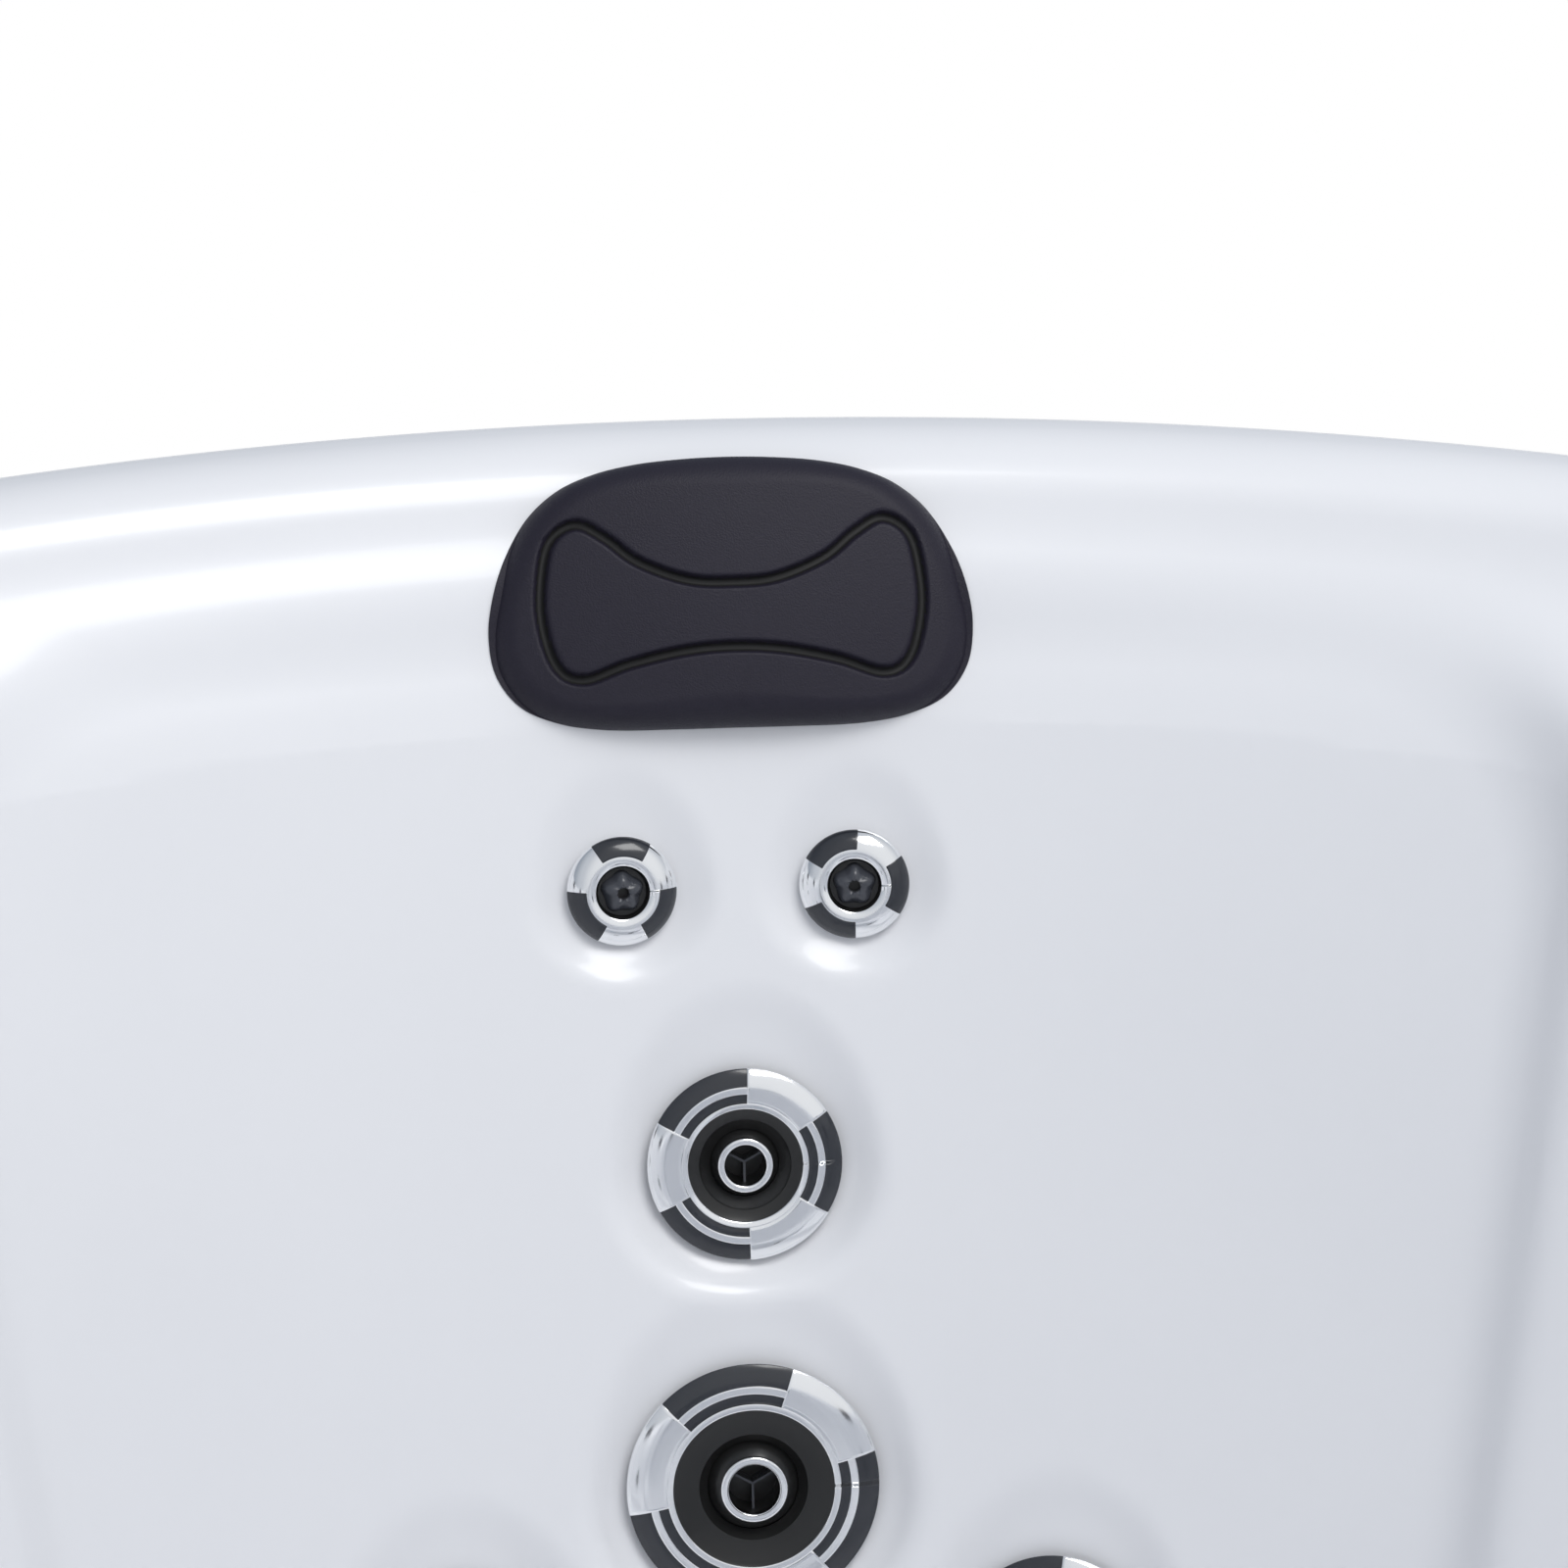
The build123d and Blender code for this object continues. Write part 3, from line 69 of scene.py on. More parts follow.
FLOOR_Z = 0.045
FOOTWELL_TOP_RADIUS = 0.330
FOOTWELL_FLOOR_RADIUS = 0.305
NICHE_AXIS_Y = 0.120
NICHE_HALF_ANGLE = math.radians(26.5)
NICHE_CEILING_Z = 0.893
NICHE_CEILING_RADIUS = 0.955
STATION = math.radians(60.0)
PHOTO_SEAT = 90.0
LOUNGE_SEATS = (30.0, 150.0)
POWER_SEATS = (-30.0, -150.0)
SEATS = (PHOTO_SEAT,) + LOUNGE_SEATS + POWER_SEATS

CONSOLE_HALF_WIDTH = 0.290
CONSOLE_FACE_Y = -0.700
DECK_Z = 0.885
FILTER_PLACE = (-0.140, -0.812)
FILTER_HOLE = 0.086
MOUTH_HALF = (0.060, 0.045)
MOUTH_Z = 0.805

JET_TILT = math.radians(14.0)
FACE_BACK = 0.0045
FACE_FRONT = 0.0105
NECK_X = 0.059
NECK_Z = 0.759
MID_Z = 0.625
POWER_Z = 0.469
LOW_X = 0.150
LOW_Z = 0.393
LOUNGE_MID_Z = 0.605
POCKET_FLARE = 0.7
POCKET_EDGE = 0.008
POCKET_FOOT = 0.012
SOCKET_EDGE_DROP = 0.0022
BORE_REACH = 0.0225
TIP_ROUND = 0.0012
VANE_HALF = 0.0006

# Roundings between the moulded surfaces
FLOOR_ROUND = 0.060
SEAT_ROUND = 0.110
SHOULDER_ROUND = 0.030
BENCH_EDGE_ROUND = 0.040
BREAK_ROUND = 0.035
NICHE_TOP_ROUND = 0.130
NICHE_ROUND = 0.030
CONSOLE_ROUND = 0.16
DECK_ROUND = 0.028
MOUTH_ROUND = 0.006

# What turns the height or radius above a sloping surface into the distance to it
RIDGE_SHARE = 0.94
UPPER_SHARE = 0.891
SHOULDER_SHARE = 0.948
NICHE_SHARE = 0.93
CEILING_SLOPE = 0.5
CEILING_SHARE = 0.894
EGG_SHARE = 0.82


class Kind:
    """Sizes shared by all jets of one kind."""

    def __init__(self, radius, hole, depth, egg, ball=0, ball_depth=0, tip=0, tip_z=0, bore=0, first=0):
        self.radius = radius
        self.hole = hole
        self.depth = depth
        self.egg = egg
        self.ball = ball
        self.ball_depth = ball_depth
        self.tip = tip
        self.tip_z = tip_z
        self.bore = bore
        self.first = first


NECK = Kind(0.028, 0.019, 0.007, (0.037, 0.056, 0.034))
MID = Kind(0.050, 0.033, 0.010, (0.058, 0.084, 0.054), 0.020, 0.008, 0.01425, 0.010, 0.0105, 0.0)
POWER = Kind(0.065, 0.043, 0.011, (0.073, 0.098, 0.068), 0.026, 0.010, 0.01725, 0.012, 0.013, -17.0)


def back_radius(z):
    """Radius of a seat's back at its middle, at height z."""
    upper = BACK_BREAK_RADIUS + (z - BACK_BREAK_Z) * UPPER_TAN
    lower = BACK_BREAK_RADIUS - (BACK_BREAK_Z - z) * BACK_TAN
    return np.where(z >= BACK_BREAK_Z, upper, lower)


class Jet:
    """One jet's name, kind and frame on the wall."""

    def __init__(self, name, kind, seat, x, z):
        self.name = name
        self.kind = kind
        reach = float(back_radius(z)) - NICHE_AXIS_Y
        swing = math.asin(x / reach)
        turn = Matrix.Rotation(math.radians(seat - PHOTO_SEAT), 3, "Z")
        level = math.cos(JET_TILT)
        out = Vector((-math.sin(swing) * level, -math.cos(swing) * level, math.sin(JET_TILT)))
        across = Vector((math.cos(swing), -math.sin(swing), 0))
        wall = Vector((x, NICHE_AXIS_Y + reach * math.cos(swing), z))
        self.out = turn @ out
        self.across = turn @ across
        self.up = self.out.cross(self.across)
        self.origin = turn @ (wall - out * kind.depth)

    def matrix(self):
        """From the jet's own frame to the tub's."""
        axes = Matrix((self.across, self.up, self.out)).transposed().to_4x4()
        return Matrix.Translation(self.origin) @ axes


def all_jets():
    """The photographed seat's six jets, then those of the other seats."""
    jets = [
        Jet("neck_jet_left", NECK, PHOTO_SEAT, -NECK_X, NECK_Z),
        Jet("neck_jet_right", NECK, PHOTO_SEAT, NECK_X, NECK_Z),
        Jet("back_jet", MID, PHOTO_SEAT, 0, MID_Z),
        Jet("lumbar_jet", POWER, PHOTO_SEAT, 0, POWER_Z),
        Jet("hip_jet_left", MID, PHOTO_SEAT, -LOW_X, LOW_Z),
        Jet("hip_jet_right", MID, PHOTO_SEAT, LOW_X, LOW_Z),
    ]
    for side, seat in zip(("east", "west"), LOUNGE_SEATS):
        jets.append(Jet(side + "_neck_jet_left", NECK, seat, -NECK_X, NECK_Z))
        jets.append(Jet(side + "_neck_jet_right", NECK, seat, NECK_X, NECK_Z))
        jets.append(Jet(side + "_back_jet", MID, seat, 0, LOUNGE_MID_Z))
    for side, seat in zip(("east", "west"), POWER_SEATS):
        jets.append(Jet(side + "_lumbar_jet", POWER, seat, 0, POWER_Z))
    return jets


JETS = all_jets()


# The moulded surface as a distance field: negative in the air, positive in the shell

def blend_air(a, b, size):
    """Joins two pieces of air and rounds the edge between them."""
    mix = np.clip(0.5 + 0.5 * (b - a) / size, 0, 1)
    return b + (a - b) * mix - size * mix * (1 - mix)


def blend_shell(a, b, size):
    """Keeps the air common to both and rounds the corner between them."""
    return -blend_air(-a, -b, size)


def main_air(r, z):
    """Footwell, bench level, wall under the shoulder and the upper wall."""
    share = (z - FLOOR_Z) / (BENCH_Z - FLOOR_Z)
    footwell = r - (FOOTWELL_FLOOR_RADIUS + share * (FOOTWELL_TOP_RADIUS - FOOTWELL_FLOOR_RADIUS))
    footwell = blend_shell(footwell, FLOOR_Z - z, FLOOR_ROUND)
    ridge = (r - (BACK_BREAK_RADIUS - RIDGE_PROUD - (BACK_BREAK_Z - z) * BACK_TAN)) * RIDGE_SHARE
    ridge = blend_shell(ridge, BENCH_Z - z, SEAT_ROUND)
    upper = (r - (BACK_BREAK_RADIUS + (z - BACK_BREAK_Z) * UPPER_TAN)) * UPPER_SHARE
    shelf = (SHOULDER_Z - z + (r - SHOULDER_RADIUS) * SHOULDER_SLOPE) * SHOULDER_SHARE
    upper = blend_shell(upper, shelf, SHOULDER_ROUND)
    return blend_air(blend_air(footwell, ridge, BENCH_EDGE_ROUND), upper, BREAK_ROUND)


def niche_air(x, y, z):
    """One seat, in the frame of the photographed one."""
    wall = (np.hypot(x, y - NICHE_AXIS_Y) + NICHE_AXIS_Y - back_radius(z)) * NICHE_SHARE
    side = np.abs(x) * math.cos(NICHE_HALF_ANGLE) - y * math.sin(NICHE_HALF_ANGLE)
    ceiling = z - NICHE_CEILING_Z + (np.hypot(x, y) - NICHE_CEILING_RADIUS) * CEILING_SLOPE
    hollow = blend_shell(side, ceiling * CEILING_SHARE, NICHE_TOP_ROUND)
    hollow = blend_shell(wall, hollow, NICHE_ROUND)
    return blend_shell(hollow, SEAT_Z - z, SEAT_ROUND)


def console_solid(x, y, z):
    """Console block, negative inside."""
    plan = blend_shell(np.abs(x) - CONSOLE_HALF_WIDTH, y - CONSOLE_FACE_Y, CONSOLE_ROUND)
    return blend_shell(plan, z - DECK_Z, DECK_ROUND)


def mouth_air(x, y, z):
    """Skimmer mouth through the console's face."""
    across = np.maximum(np.abs(x - FILTER_PLACE[0]) - MOUTH_HALF[0], np.abs(z - MOUTH_Z) - MOUTH_HALF[1])
    return np.maximum(across, CONSOLE_FACE_Y - SHELL_WALL - y)


def pocket_air(jet, points):
    """Egg-shaped pocket of a jet."""
    local = (points - np.array(jet.origin)) @ np.array(jet.matrix().to_3x3())
    u, v, w = local[:, 0], local[:, 1], local[:, 2]
    wide, up, down = jet.kind.egg
    grow = POCKET_FLARE * np.clip(w, -0.01, 0.05)
    tall = np.where(v > 0, up + grow, down + grow)
    egg = (np.sqrt((u / (wide + grow)) ** 2 + (v / tall) ** 2) - 1) * (wide + grow) * EGG_SHARE
    return blend_shell(egg, -w, POCKET_FOOT)


def air(points):
    """Distance field of the whole moulded shell at N points."""
    x, y, z = points[:, 0], points[:, 1], points[:, 2]
    r = np.hypot(x, y)
    theta = np.arctan2(x, y)
    station = np.round(theta / STATION)
    turn = theta - station * STATION
    value = main_air(r, z)
    niche = niche_air(r * np.sin(turn), r * np.cos(turn), z)
    value = np.where(np.abs(station) < 2.5, blend_air(value, niche, NICHE_ROUND), value)
    value = blend_shell(value, -console_solid(x, y, z), NICHE_ROUND)
    near = (np.abs(x - FILTER_PLACE[0]) < 0.10) & (y < CONSOLE_FACE_Y + 0.02) & (y > CONSOLE_FACE_Y - 0.04)
    if near.any():
        value[near] = blend_air(value[near], mouth_air(x[near], y[near], z[near]), MOUTH_ROUND)
    for jet in JETS:
        reach = max(jet.kind.egg) + 0.06
        near = np.abs(points - np.array(jet.origin)).max(axis=1) < reach
        if near.any():
            value[near] = blend_air(value[near], pocket_air(jet, points[near]), POCKET_EDGE)
    value = blend_air(value, TUB_HEIGHT - z, RIM_INNER_ROUND)
    return blend_air(value, TUB_RADIUS - r, RIM_OUTER_ROUND)


def slope_of(points, step=0.0004):
    """Gradient of the field."""
    slope = np.empty_like(points)
    for axis in range(3):
        shift = np.zeros(3)
        shift[axis] = step
        slope[:, axis] = (air(points + shift) - air(points - shift)) / (2 * step)
    return slope


def settle(points, rounds=4, limit=0.004):
    """Moves points onto the moulded surface."""
    for _ in range(rounds):
        slope = slope_of(points)
        size = (slope**2).sum(axis=1) + 1e-9
        move = -slope * (air(points) / size)[:, None]
        length = np.sqrt((move**2).sum(axis=1)) + 1e-12
        move *= np.minimum(1, limit / length)[:, None]
        points = points + move
    return points


def steps(*stretches):
    """Grid lines from (start, end, spacing) stretches, joined end to end."""
    lines = []
    for start, end, spacing in stretches:
        count = max(1, round((end - start) / spacing))
        lines.append(np.linspace(start, end, count, endpoint=False))
    return np.concatenate(lines + [np.array([stretches[-1][1]])])


def shell_grid():
    """Grid lines round the tub, outwards and upwards, finest at the photographed seat."""
    fine = math.radians(28)
    scale = 1.0
    fine_step = math.radians(0.3) * scale
    coarse_step = math.radians(1.0) * scale
    around = steps((-fine, fine, fine_step), (fine, 2 * math.pi - fine, coarse_step))[:-1]
    out = steps((0.020, 0.300, 0.020 * scale), (0.300, 0.345, 0.009 * scale), (0.345, 0.700, 0.016 * scale),
                (0.700, 1.060, 0.006 * scale))
    up = steps((0.036, 0.080, 0.009), (0.080, 0.280, 0.018 * scale), (0.280, 0.340, 0.008 * scale),
               (0.340, 0.850, 0.005 * scale), (0.850, 0.930, 0.008 * scale), (0.930, 0.969, 0.004))
    return around, out, up


def surface_net(around, out, up):
    """Quads along the field's zero surface on a cylindrical grid that closes on itself."""
    height, radius = np.meshgrid(up, out)
    values = np.empty((len(around), len(out), len(up)), np.float32)
    for index, angle in enumerate(around):
        flat_x = radius.ravel() * math.sin(angle)
        flat_y = radius.ravel() * math.cos(angle)
        flat = np.stack([flat_x, flat_y, height.ravel()], 1)
        values[index] = air(flat).reshape(radius.shape)
    inside = values > 0
    wrapped = np.concatenate([inside, inside[:1]])
    corners = [wrapped[i:len(around) + i, j:len(out) - 1 + j, k:len(up) - 1 + k]
               for i in (0, 1) for j in (0, 1) for k in (0, 1)]
    total = np.sum(corners, axis=0, dtype=np.int8)
    mixed = (total > 0) & (total < 8)
    cells = np.argwhere(mixed)
    number = np.full(mixed.shape, -1, np.int64)
    number[tuple(cells.T)] = np.arange(len(cells))
    turns = np.append(around, around[0] + 2 * math.pi)
    places = cell_places(values, cells, turns, out, up)
    quads = []
    rows = len(around)
    # edges that run round the tub
    ahead = np.roll(inside, -1, axis=0)
    i, j, k = np.nonzero(inside[:, 1:-1, 1:-1] != ahead[:, 1:-1, 1:-1])
    flip = inside[i, j + 1, k + 1]
    quads.append(four(number, (i, i, i, i), (j, j + 1, j + 1, j), (k, k, k + 1, k + 1), flip))
    # edges that run outwards
    i, j, k = np.nonzero(inside[:, :-1, 1:-1] != inside[:, 1:, 1:-1])
    back = (i - 1) % rows
    flip = inside[i, j, k + 1]
    quads.append(four(number, (back, back, i, i), (j, j, j, j), (k, k + 1, k + 1, k), flip))
    # edges that run upwards
    i, j, k = np.nonzero(inside[:, 1:-1, :-1] != inside[:, 1:-1, 1:])
    back = (i - 1) % rows
    flip = inside[i, j + 1, k]
    quads.append(four(number, (back, i, i, back), (j, j, j + 1, j + 1), (k, k, k, k), flip))
    quads = np.concatenate(quads)
    return places, quads[(quads >= 0).all(axis=1)]


def four(number, i, j, k, flip):
    """Quads of the four cells round each crossed grid edge, wound by its sign."""
    quad = np.stack([number[i[n], j[n], k[n]] for n in range(4)], 1)
    return np.where(flip[:, None], quad, quad[:, ::-1])


def cell_places(values, cells, turns, out, up):
    """Mean of the crossings on each mixed cell's twelve edges."""
    i, j, k = cells.T
    nexti = (i + 1) % values.shape[0]
    ends = {}
    for a in (0, 1):
        for b in (0, 1):
            for c in (0, 1):
                ends[a, b, c] = values[nexti if a else i, j + b, k + c]
    spot = np.zeros((len(cells), 3))
    count = np.zeros(len(cells))
    for axis in range(3):
        for b in (0, 1):
            for c in (0, 1):
                low = [b, c]
                low.insert(axis, 0)
                high = [b, c]
                high.insert(axis, 1)
                va = ends[tuple(low)]
                vb = ends[tuple(high)]
                crossed = (va > 0) != (vb > 0)
                part = np.where(crossed, va / np.where(crossed, va - vb, 1), 0)
                place = np.tile(np.array(low, float), (len(cells), 1))
                place[:, axis] = part
                spot += place * crossed[:, None]
                count += crossed
    spot /= count[:, None]
    angle = turns[i] + spot[:, 0] * (turns[i + 1] - turns[i])
    radius = out[j] + spot[:, 1] * (out[j + 1] - out[j])
    height = up[k] + spot[:, 2] * (up[k + 1] - up[k])
    return np.stack([radius * np.sin(angle), radius * np.cos(angle), height], 1)


def mesh_object(name, points, faces, normals=None, smooth=True):
    """Object from vertex and face lists."""
    mesh = bpy.data.meshes.new(name)
    mesh.from_pydata([tuple(p) for p in points], [], [tuple(int(v) for v in f) for f in faces])
    mesh.update()
    if smooth:
        mesh.shade_smooth()
    if normals is not None:
        mesh.normals_split_custom_set_from_vertices([tuple(n) for n in normals])
    obj = bpy.data.objects.new(name, mesh)
    bpy.context.scene.collection.objects.link(obj)
    return obj


def keep_shell_face(centre):
    """Leaves out the hidden side, the holes behind the jets and the filter's hole."""
    r = np.hypot(centre[:, 0], centre[:, 1])
    keep = ~((r > LIP_INNER_RADIUS) & (centre[:, 2] < LIP_LOW_Z))
    for jet in JETS:
        local = (centre - np.array(jet.origin)) @ np.array(jet.matrix().to_3x3())
        hole = (np.hypot(local[:, 0], local[:, 1]) < jet.kind.hole) & (np.abs(local[:, 2]) < 0.006)
        keep &= ~hole
    x, y, z = centre.T
    filter_hole = np.hypot(x - FILTER_PLACE[0], y - FILTER_PLACE[1]) < FILTER_HOLE
    keep &= ~(filter_hole & (z > DECK_Z - 0.01))
    mouth = np.abs(x - FILTER_PLACE[0]) < MOUTH_HALF[0] - 0.001
    mouth &= np.abs(z - MOUTH_Z) < MOUTH_HALF[1] - 0.001
    mouth_end = CONSOLE_FACE_Y - SHELL_WALL
    keep &= ~(mouth & (y > mouth_end - 0.01) & (y < mouth_end + 0.008))
    return keep


def make_shell(material):
    """Visible side of the moulded shell, from the lip over the rim to the floor."""
    points, quads = surface_net(*shell_grid())
    points = settle(points)
    keep = keep_shell_face(points[quads].mean(axis=1))
    quads = quads[keep]
    used = np.unique(quads)
    renumber = np.full(len(points), -1)
    renumber[used] = np.arange(len(used))
    points = points[used]
    quads = renumber[quads]
    slope = slope_of(points)
    normals = -slope / np.sqrt((slope**2).sum(axis=1))[:, None]
    shell = mesh_object("tub_shell_skin", points, quads, normals)
    shell.data.materials.append(material)
    return shell


# Materials

def new_material(name):
    """Material with its shader, its node tree and its surface coordinates in metres."""
    material = bpy.data.materials.new(name)
    material.use_nodes = True
    tree = material.node_tree
    shader = tree.nodes["Principled BSDF"]
    place = tree.nodes.new("ShaderNodeTexCoord")
    return material, tree, shader, place.outputs["Object"]


def noise(tree, place, scale, detail=3.0, roughness=0.5, stretch=None):
    """Noise value over the surface, optionally stretched along an axis."""
    if stretch is not None:
        mapping = tree.nodes.new("ShaderNodeMapping")
        mapping.inputs["Scale"].default_value = stretch
        tree.links.new(place, mapping.inputs["Vector"])
        place = mapping.outputs["Vector"]
    texture = tree.nodes.new("ShaderNodeTexNoise")
    texture.inputs["Scale"].default_value = scale
    texture.inputs["Detail"].default_value = detail
    texture.inputs["Roughness"].default_value = roughness
    tree.links.new(place, texture.inputs["Vector"])
    return texture.outputs["Fac"]


def ramp(tree, value, low, high):
    """Colour or grey between two stops."""
    node = tree.nodes.new("ShaderNodeValToRGB")
    node.color_ramp.elements[0].color = (*low, 1)
    node.color_ramp.elements[1].color = (*high, 1)
    tree.links.new(value, node.inputs["Fac"])
    return node.outputs["Color"]


def bump(tree, shader, value, strength, distance):
    """Lets a value raise the surface."""
    node = tree.nodes.new("ShaderNodeBump")
    node.inputs["Strength"].default_value = strength
    node.inputs["Distance"].default_value = distance
    tree.links.new(value, node.inputs["Height"])
    tree.links.new(node.outputs["Normal"], shader.inputs["Normal"])


def finish_material(name, low, high, rough_low, rough_high, scale, metallic=0.0, coat=0.0, bumpy=0.0,
                    grain=0.0002, stretch=None, coat_rough=0.05, specular=0.5):
    """Surface whose colour and roughness wander between two values, with a fine grain."""
    material, tree, shader, place = new_material(name)
    wander = noise(tree, place, scale, stretch=stretch)
    tree.links.new(ramp(tree, wander, low, high), shader.inputs["Base Color"])
    rough = tree.nodes.new("ShaderNodeMapRange")
    rough.inputs["To Min"].default_value = rough_low
    rough.inputs["To Max"].default_value = rough_high
    tree.links.new(wander, rough.inputs["Value"])
    tree.links.new(rough.outputs["Result"], shader.inputs["Roughness"])
    shader.inputs["Metallic"].default_value = metallic
    shader.inputs["Specular IOR Level"].default_value = specular
    shader.inputs["Coat Weight"].default_value = coat
    shader.inputs["Coat Roughness"].default_value = coat_rough
    if bumpy:
        bump(tree, shader, noise(tree, place, 1 / grain, 2.0), bumpy, grain)
    return material


def grey(value):
    """Colour with three equal channels."""
    return (value, value, value)


# Name, low and high colour, low and high roughness, scale of the wander, and what else differs
FINISHES = {
    "acrylic": ("acrylic_white", (0.80, 0.806, 0.830), (0.825, 0.830, 0.852), 0.30, 0.36, 6.0,
                {"coat": 0.35, "coat_rough": 0.12}),
    "pillow": ("pillow_vinyl", (0.013, 0.011, 0.021), (0.017, 0.015, 0.026), 0.46, 0.56, 18.0,
               {"bumpy": 0.35, "grain": 0.0009, "specular": 0.28}),
    # groove: a darker copy of the pillow vinyl, painted shade for the faces along the pillow's sewn channel
    "groove": ("pillow_groove", grey(0.004), grey(0.007), 0.6, 0.7, 30.0, {}),
    "jet_chrome": ("jet_chrome", (0.90, 0.91, 0.92), (0.95, 0.955, 0.96), 0.08, 0.14, 40.0,
                   {"metallic": 1.0}),
    "jet_dark": ("jet_dark", (0.018, 0.020, 0.026), (0.026, 0.029, 0.036), 0.16, 0.24, 40.0,
                 {"coat": 0.3}),
    "jet_black": ("jet_black", grey(0.008), grey(0.013), 0.25, 0.36, 40.0, {}),
    "jet_cone": ("jet_cone", (0.045, 0.048, 0.058), (0.060, 0.064, 0.076), 0.22, 0.30, 40.0, {}),
    "pipework": ("pipe_white", grey(0.72), grey(0.80), 0.35, 0.5, 25.0, {}),
    "seal": ("seal_rubber", grey(0.02), grey(0.03), 0.6, 0.8, 30.0, {}),
    "cabinet": ("cabinet_board", (0.060, 0.064, 0.074), (0.115, 0.120, 0.132), 0.55, 0.75, 14.0,
                {"bumpy": 0.5, "grain": 0.0012, "stretch": (6.0, 6.0, 0.25)}),
    "trim": ("corner_trim", (0.030, 0.031, 0.034), (0.045, 0.046, 0.050), 0.35, 0.5, 12.0,
             {"bumpy": 0.2, "grain": 0.0006}),
    "base": ("base_plastic", grey(0.020), grey(0.030), 0.5, 0.65, 20.0,
             {"bumpy": 0.3, "grain": 0.0008}),
    "frame": ("frame_plastic", (0.12, 0.125, 0.13), (0.17, 0.175, 0.18), 0.5, 0.7, 12.0, {"bumpy": 0.2}),
    "filter_paper": ("filter_paper", (0.78, 0.78, 0.75), (0.86, 0.86, 0.84), 0.8, 0.95, 60.0,
                     {"bumpy": 0.4}),
    "console_trim": ("console_trim", (0.026, 0.028, 0.034), (0.036, 0.039, 0.046), 0.28, 0.4, 30.0,
                     {"coat": 0.2, "bumpy": 0.12, "grain": 0.0005}),
    "display": ("display_glass", (0.010, 0.016, 0.022), (0.014, 0.022, 0.030), 0.04, 0.08, 20.0,
                {"coat": 1.0}),
    "lens": ("light_lens", (0.55, 0.62, 0.68), (0.66, 0.72, 0.77), 0.08, 0.16, 50.0, {"coat": 0.8}),
    "equipment": ("equipment_grey", (0.035, 0.038, 0.045), (0.055, 0.058, 0.066), 0.35, 0.5, 16.0,
                  {"bumpy": 0.2}),
    "heater_steel": ("heater_steel", (0.50, 0.51, 0.53), (0.60, 0.61, 0.63), 0.25, 0.4, 30.0,
                     {"metallic": 1.0, "stretch": (1.0, 12.0, 12.0)}),
    "foam": ("shell_foam", (0.62, 0.56, 0.40), (0.76, 0.70, 0.54), 0.8, 0.95, 9.0,
             {"bumpy": 0.8, "grain": 0.006}),
}


def make_materials():
    """One material for each finish, by its key."""
    return {key: finish_material(*finish[:-1], **finish[-1]) for key, finish in FINISHES.items()}


# Mesh helpers

def lathe(name, profile, material, segments=96, place=None, sharp=35.0):
    """Surface turned about Z from (radius, height) points."""
    points = []
    for radius, height in profile:
        for step in range(segments):
            angle = 2 * math.pi * step / segments
            points.append((radius * math.cos(angle), radius * math.sin(angle), height))
    faces = []
    for ring in range(len(profile) - 1):
        for step in range(segments):
            following = (step + 1) % segments
            low = ring * segments
            high = low + segments
            faces.append((low + step, low + following, high + following, high + step))
    return placed(name, points, faces, material, place, sharp)


def placed(name, points, faces, material, place, sharp):
    """Mesh object with merged points and outward faces, moved by a matrix if one is given."""
    obj = mesh_object(name, points, faces)
    work = bmesh.new()
    work.from_mesh(obj.data)
    bmesh.ops.remove_doubles(work, verts=work.verts, dist=1e-6)
    bmesh.ops.recalc_face_normals(work, faces=work.faces)
    work.to_mesh(obj.data)
    work.free()
    obj.data.shade_smooth()
    obj.data.set_sharp_from_angle(angle=math.radians(sharp))
    obj.data.materials.append(material)
    if place is not None:
        obj.data.transform(place)
    return obj


def fan_plate(name, section, start, end, material, place, step=2.0):
    """Solid plate: a closed (radius, height) section swept from one angle to another."""
    count = max(2, round((end - start) / step))
    points = []
    for index in range(count + 1):
        angle = math.radians(start + (end - start) * index / count)
        for radius, height in section:
            points.append((radius * math.cos(angle), radius * math.sin(angle), height))
    size = len(section)
    faces = []
    for index in range(count):
        for corner in range(size):
            following = (corner + 1) % size
            low = index * size
            faces.append((low + corner, low + following, low + size + following, low + size + corner))
    faces.append(tuple(range(size)))
    faces.append(tuple(range(count * size, (count + 1) * size)))
    plate = placed(name, points, faces, material, place, 30.0)
    softened(plate, 0.0006)
    return plate


def softened(obj, width, segments=2):
    """Rounds the sharp edges of a piece."""
    modifier = obj.modifiers.new("soft_edges", "BEVEL")
    modifier.width = width
    modifier.segments = segments
    modifier.limit_method = "ANGLE"
    modifier.angle_limit = math.radians(35)
    modifier.harden_normals = False


def round_run(centre, radius, start, end, count=6):
    """Points of an arc in a (radius, height) section."""
    run = []
    for index in range(count + 1):
        angle = math.radians(start + (end - start) * index / count)
        run.append((centre[0] + radius * math.cos(angle), centre[1] + radius * math.sin(angle)))
    return run


def join(name, pieces):
    """Joins pieces of one material into one mesh, with their modifiers applied."""
    graph = bpy.context.evaluated_depsgraph_get()
    work = bmesh.new()
    for piece in pieces:
        mesh = bpy.data.meshes.new_from_object(piece.evaluated_get(graph))
        work.from_mesh(mesh)
        bpy.data.meshes.remove(mesh)
    mesh = bpy.data.meshes.new(name)
    work.to_mesh(mesh)
    work.free()
    material = pieces[0].data.materials[0]
    for piece in pieces:
        bpy.data.objects.remove(piece)
    mesh.shade_smooth()
    mesh.set_sharp_from_angle(angle=math.radians(40))
    mesh.materials.append(material)
    obj = bpy.data.objects.new(name, mesh)
    bpy.context.scene.collection.objects.link(obj)
    return obj


# Jets

WINDOW = 64.0
FIRST_NECK = {"left": 89.0, "right": 119.0}


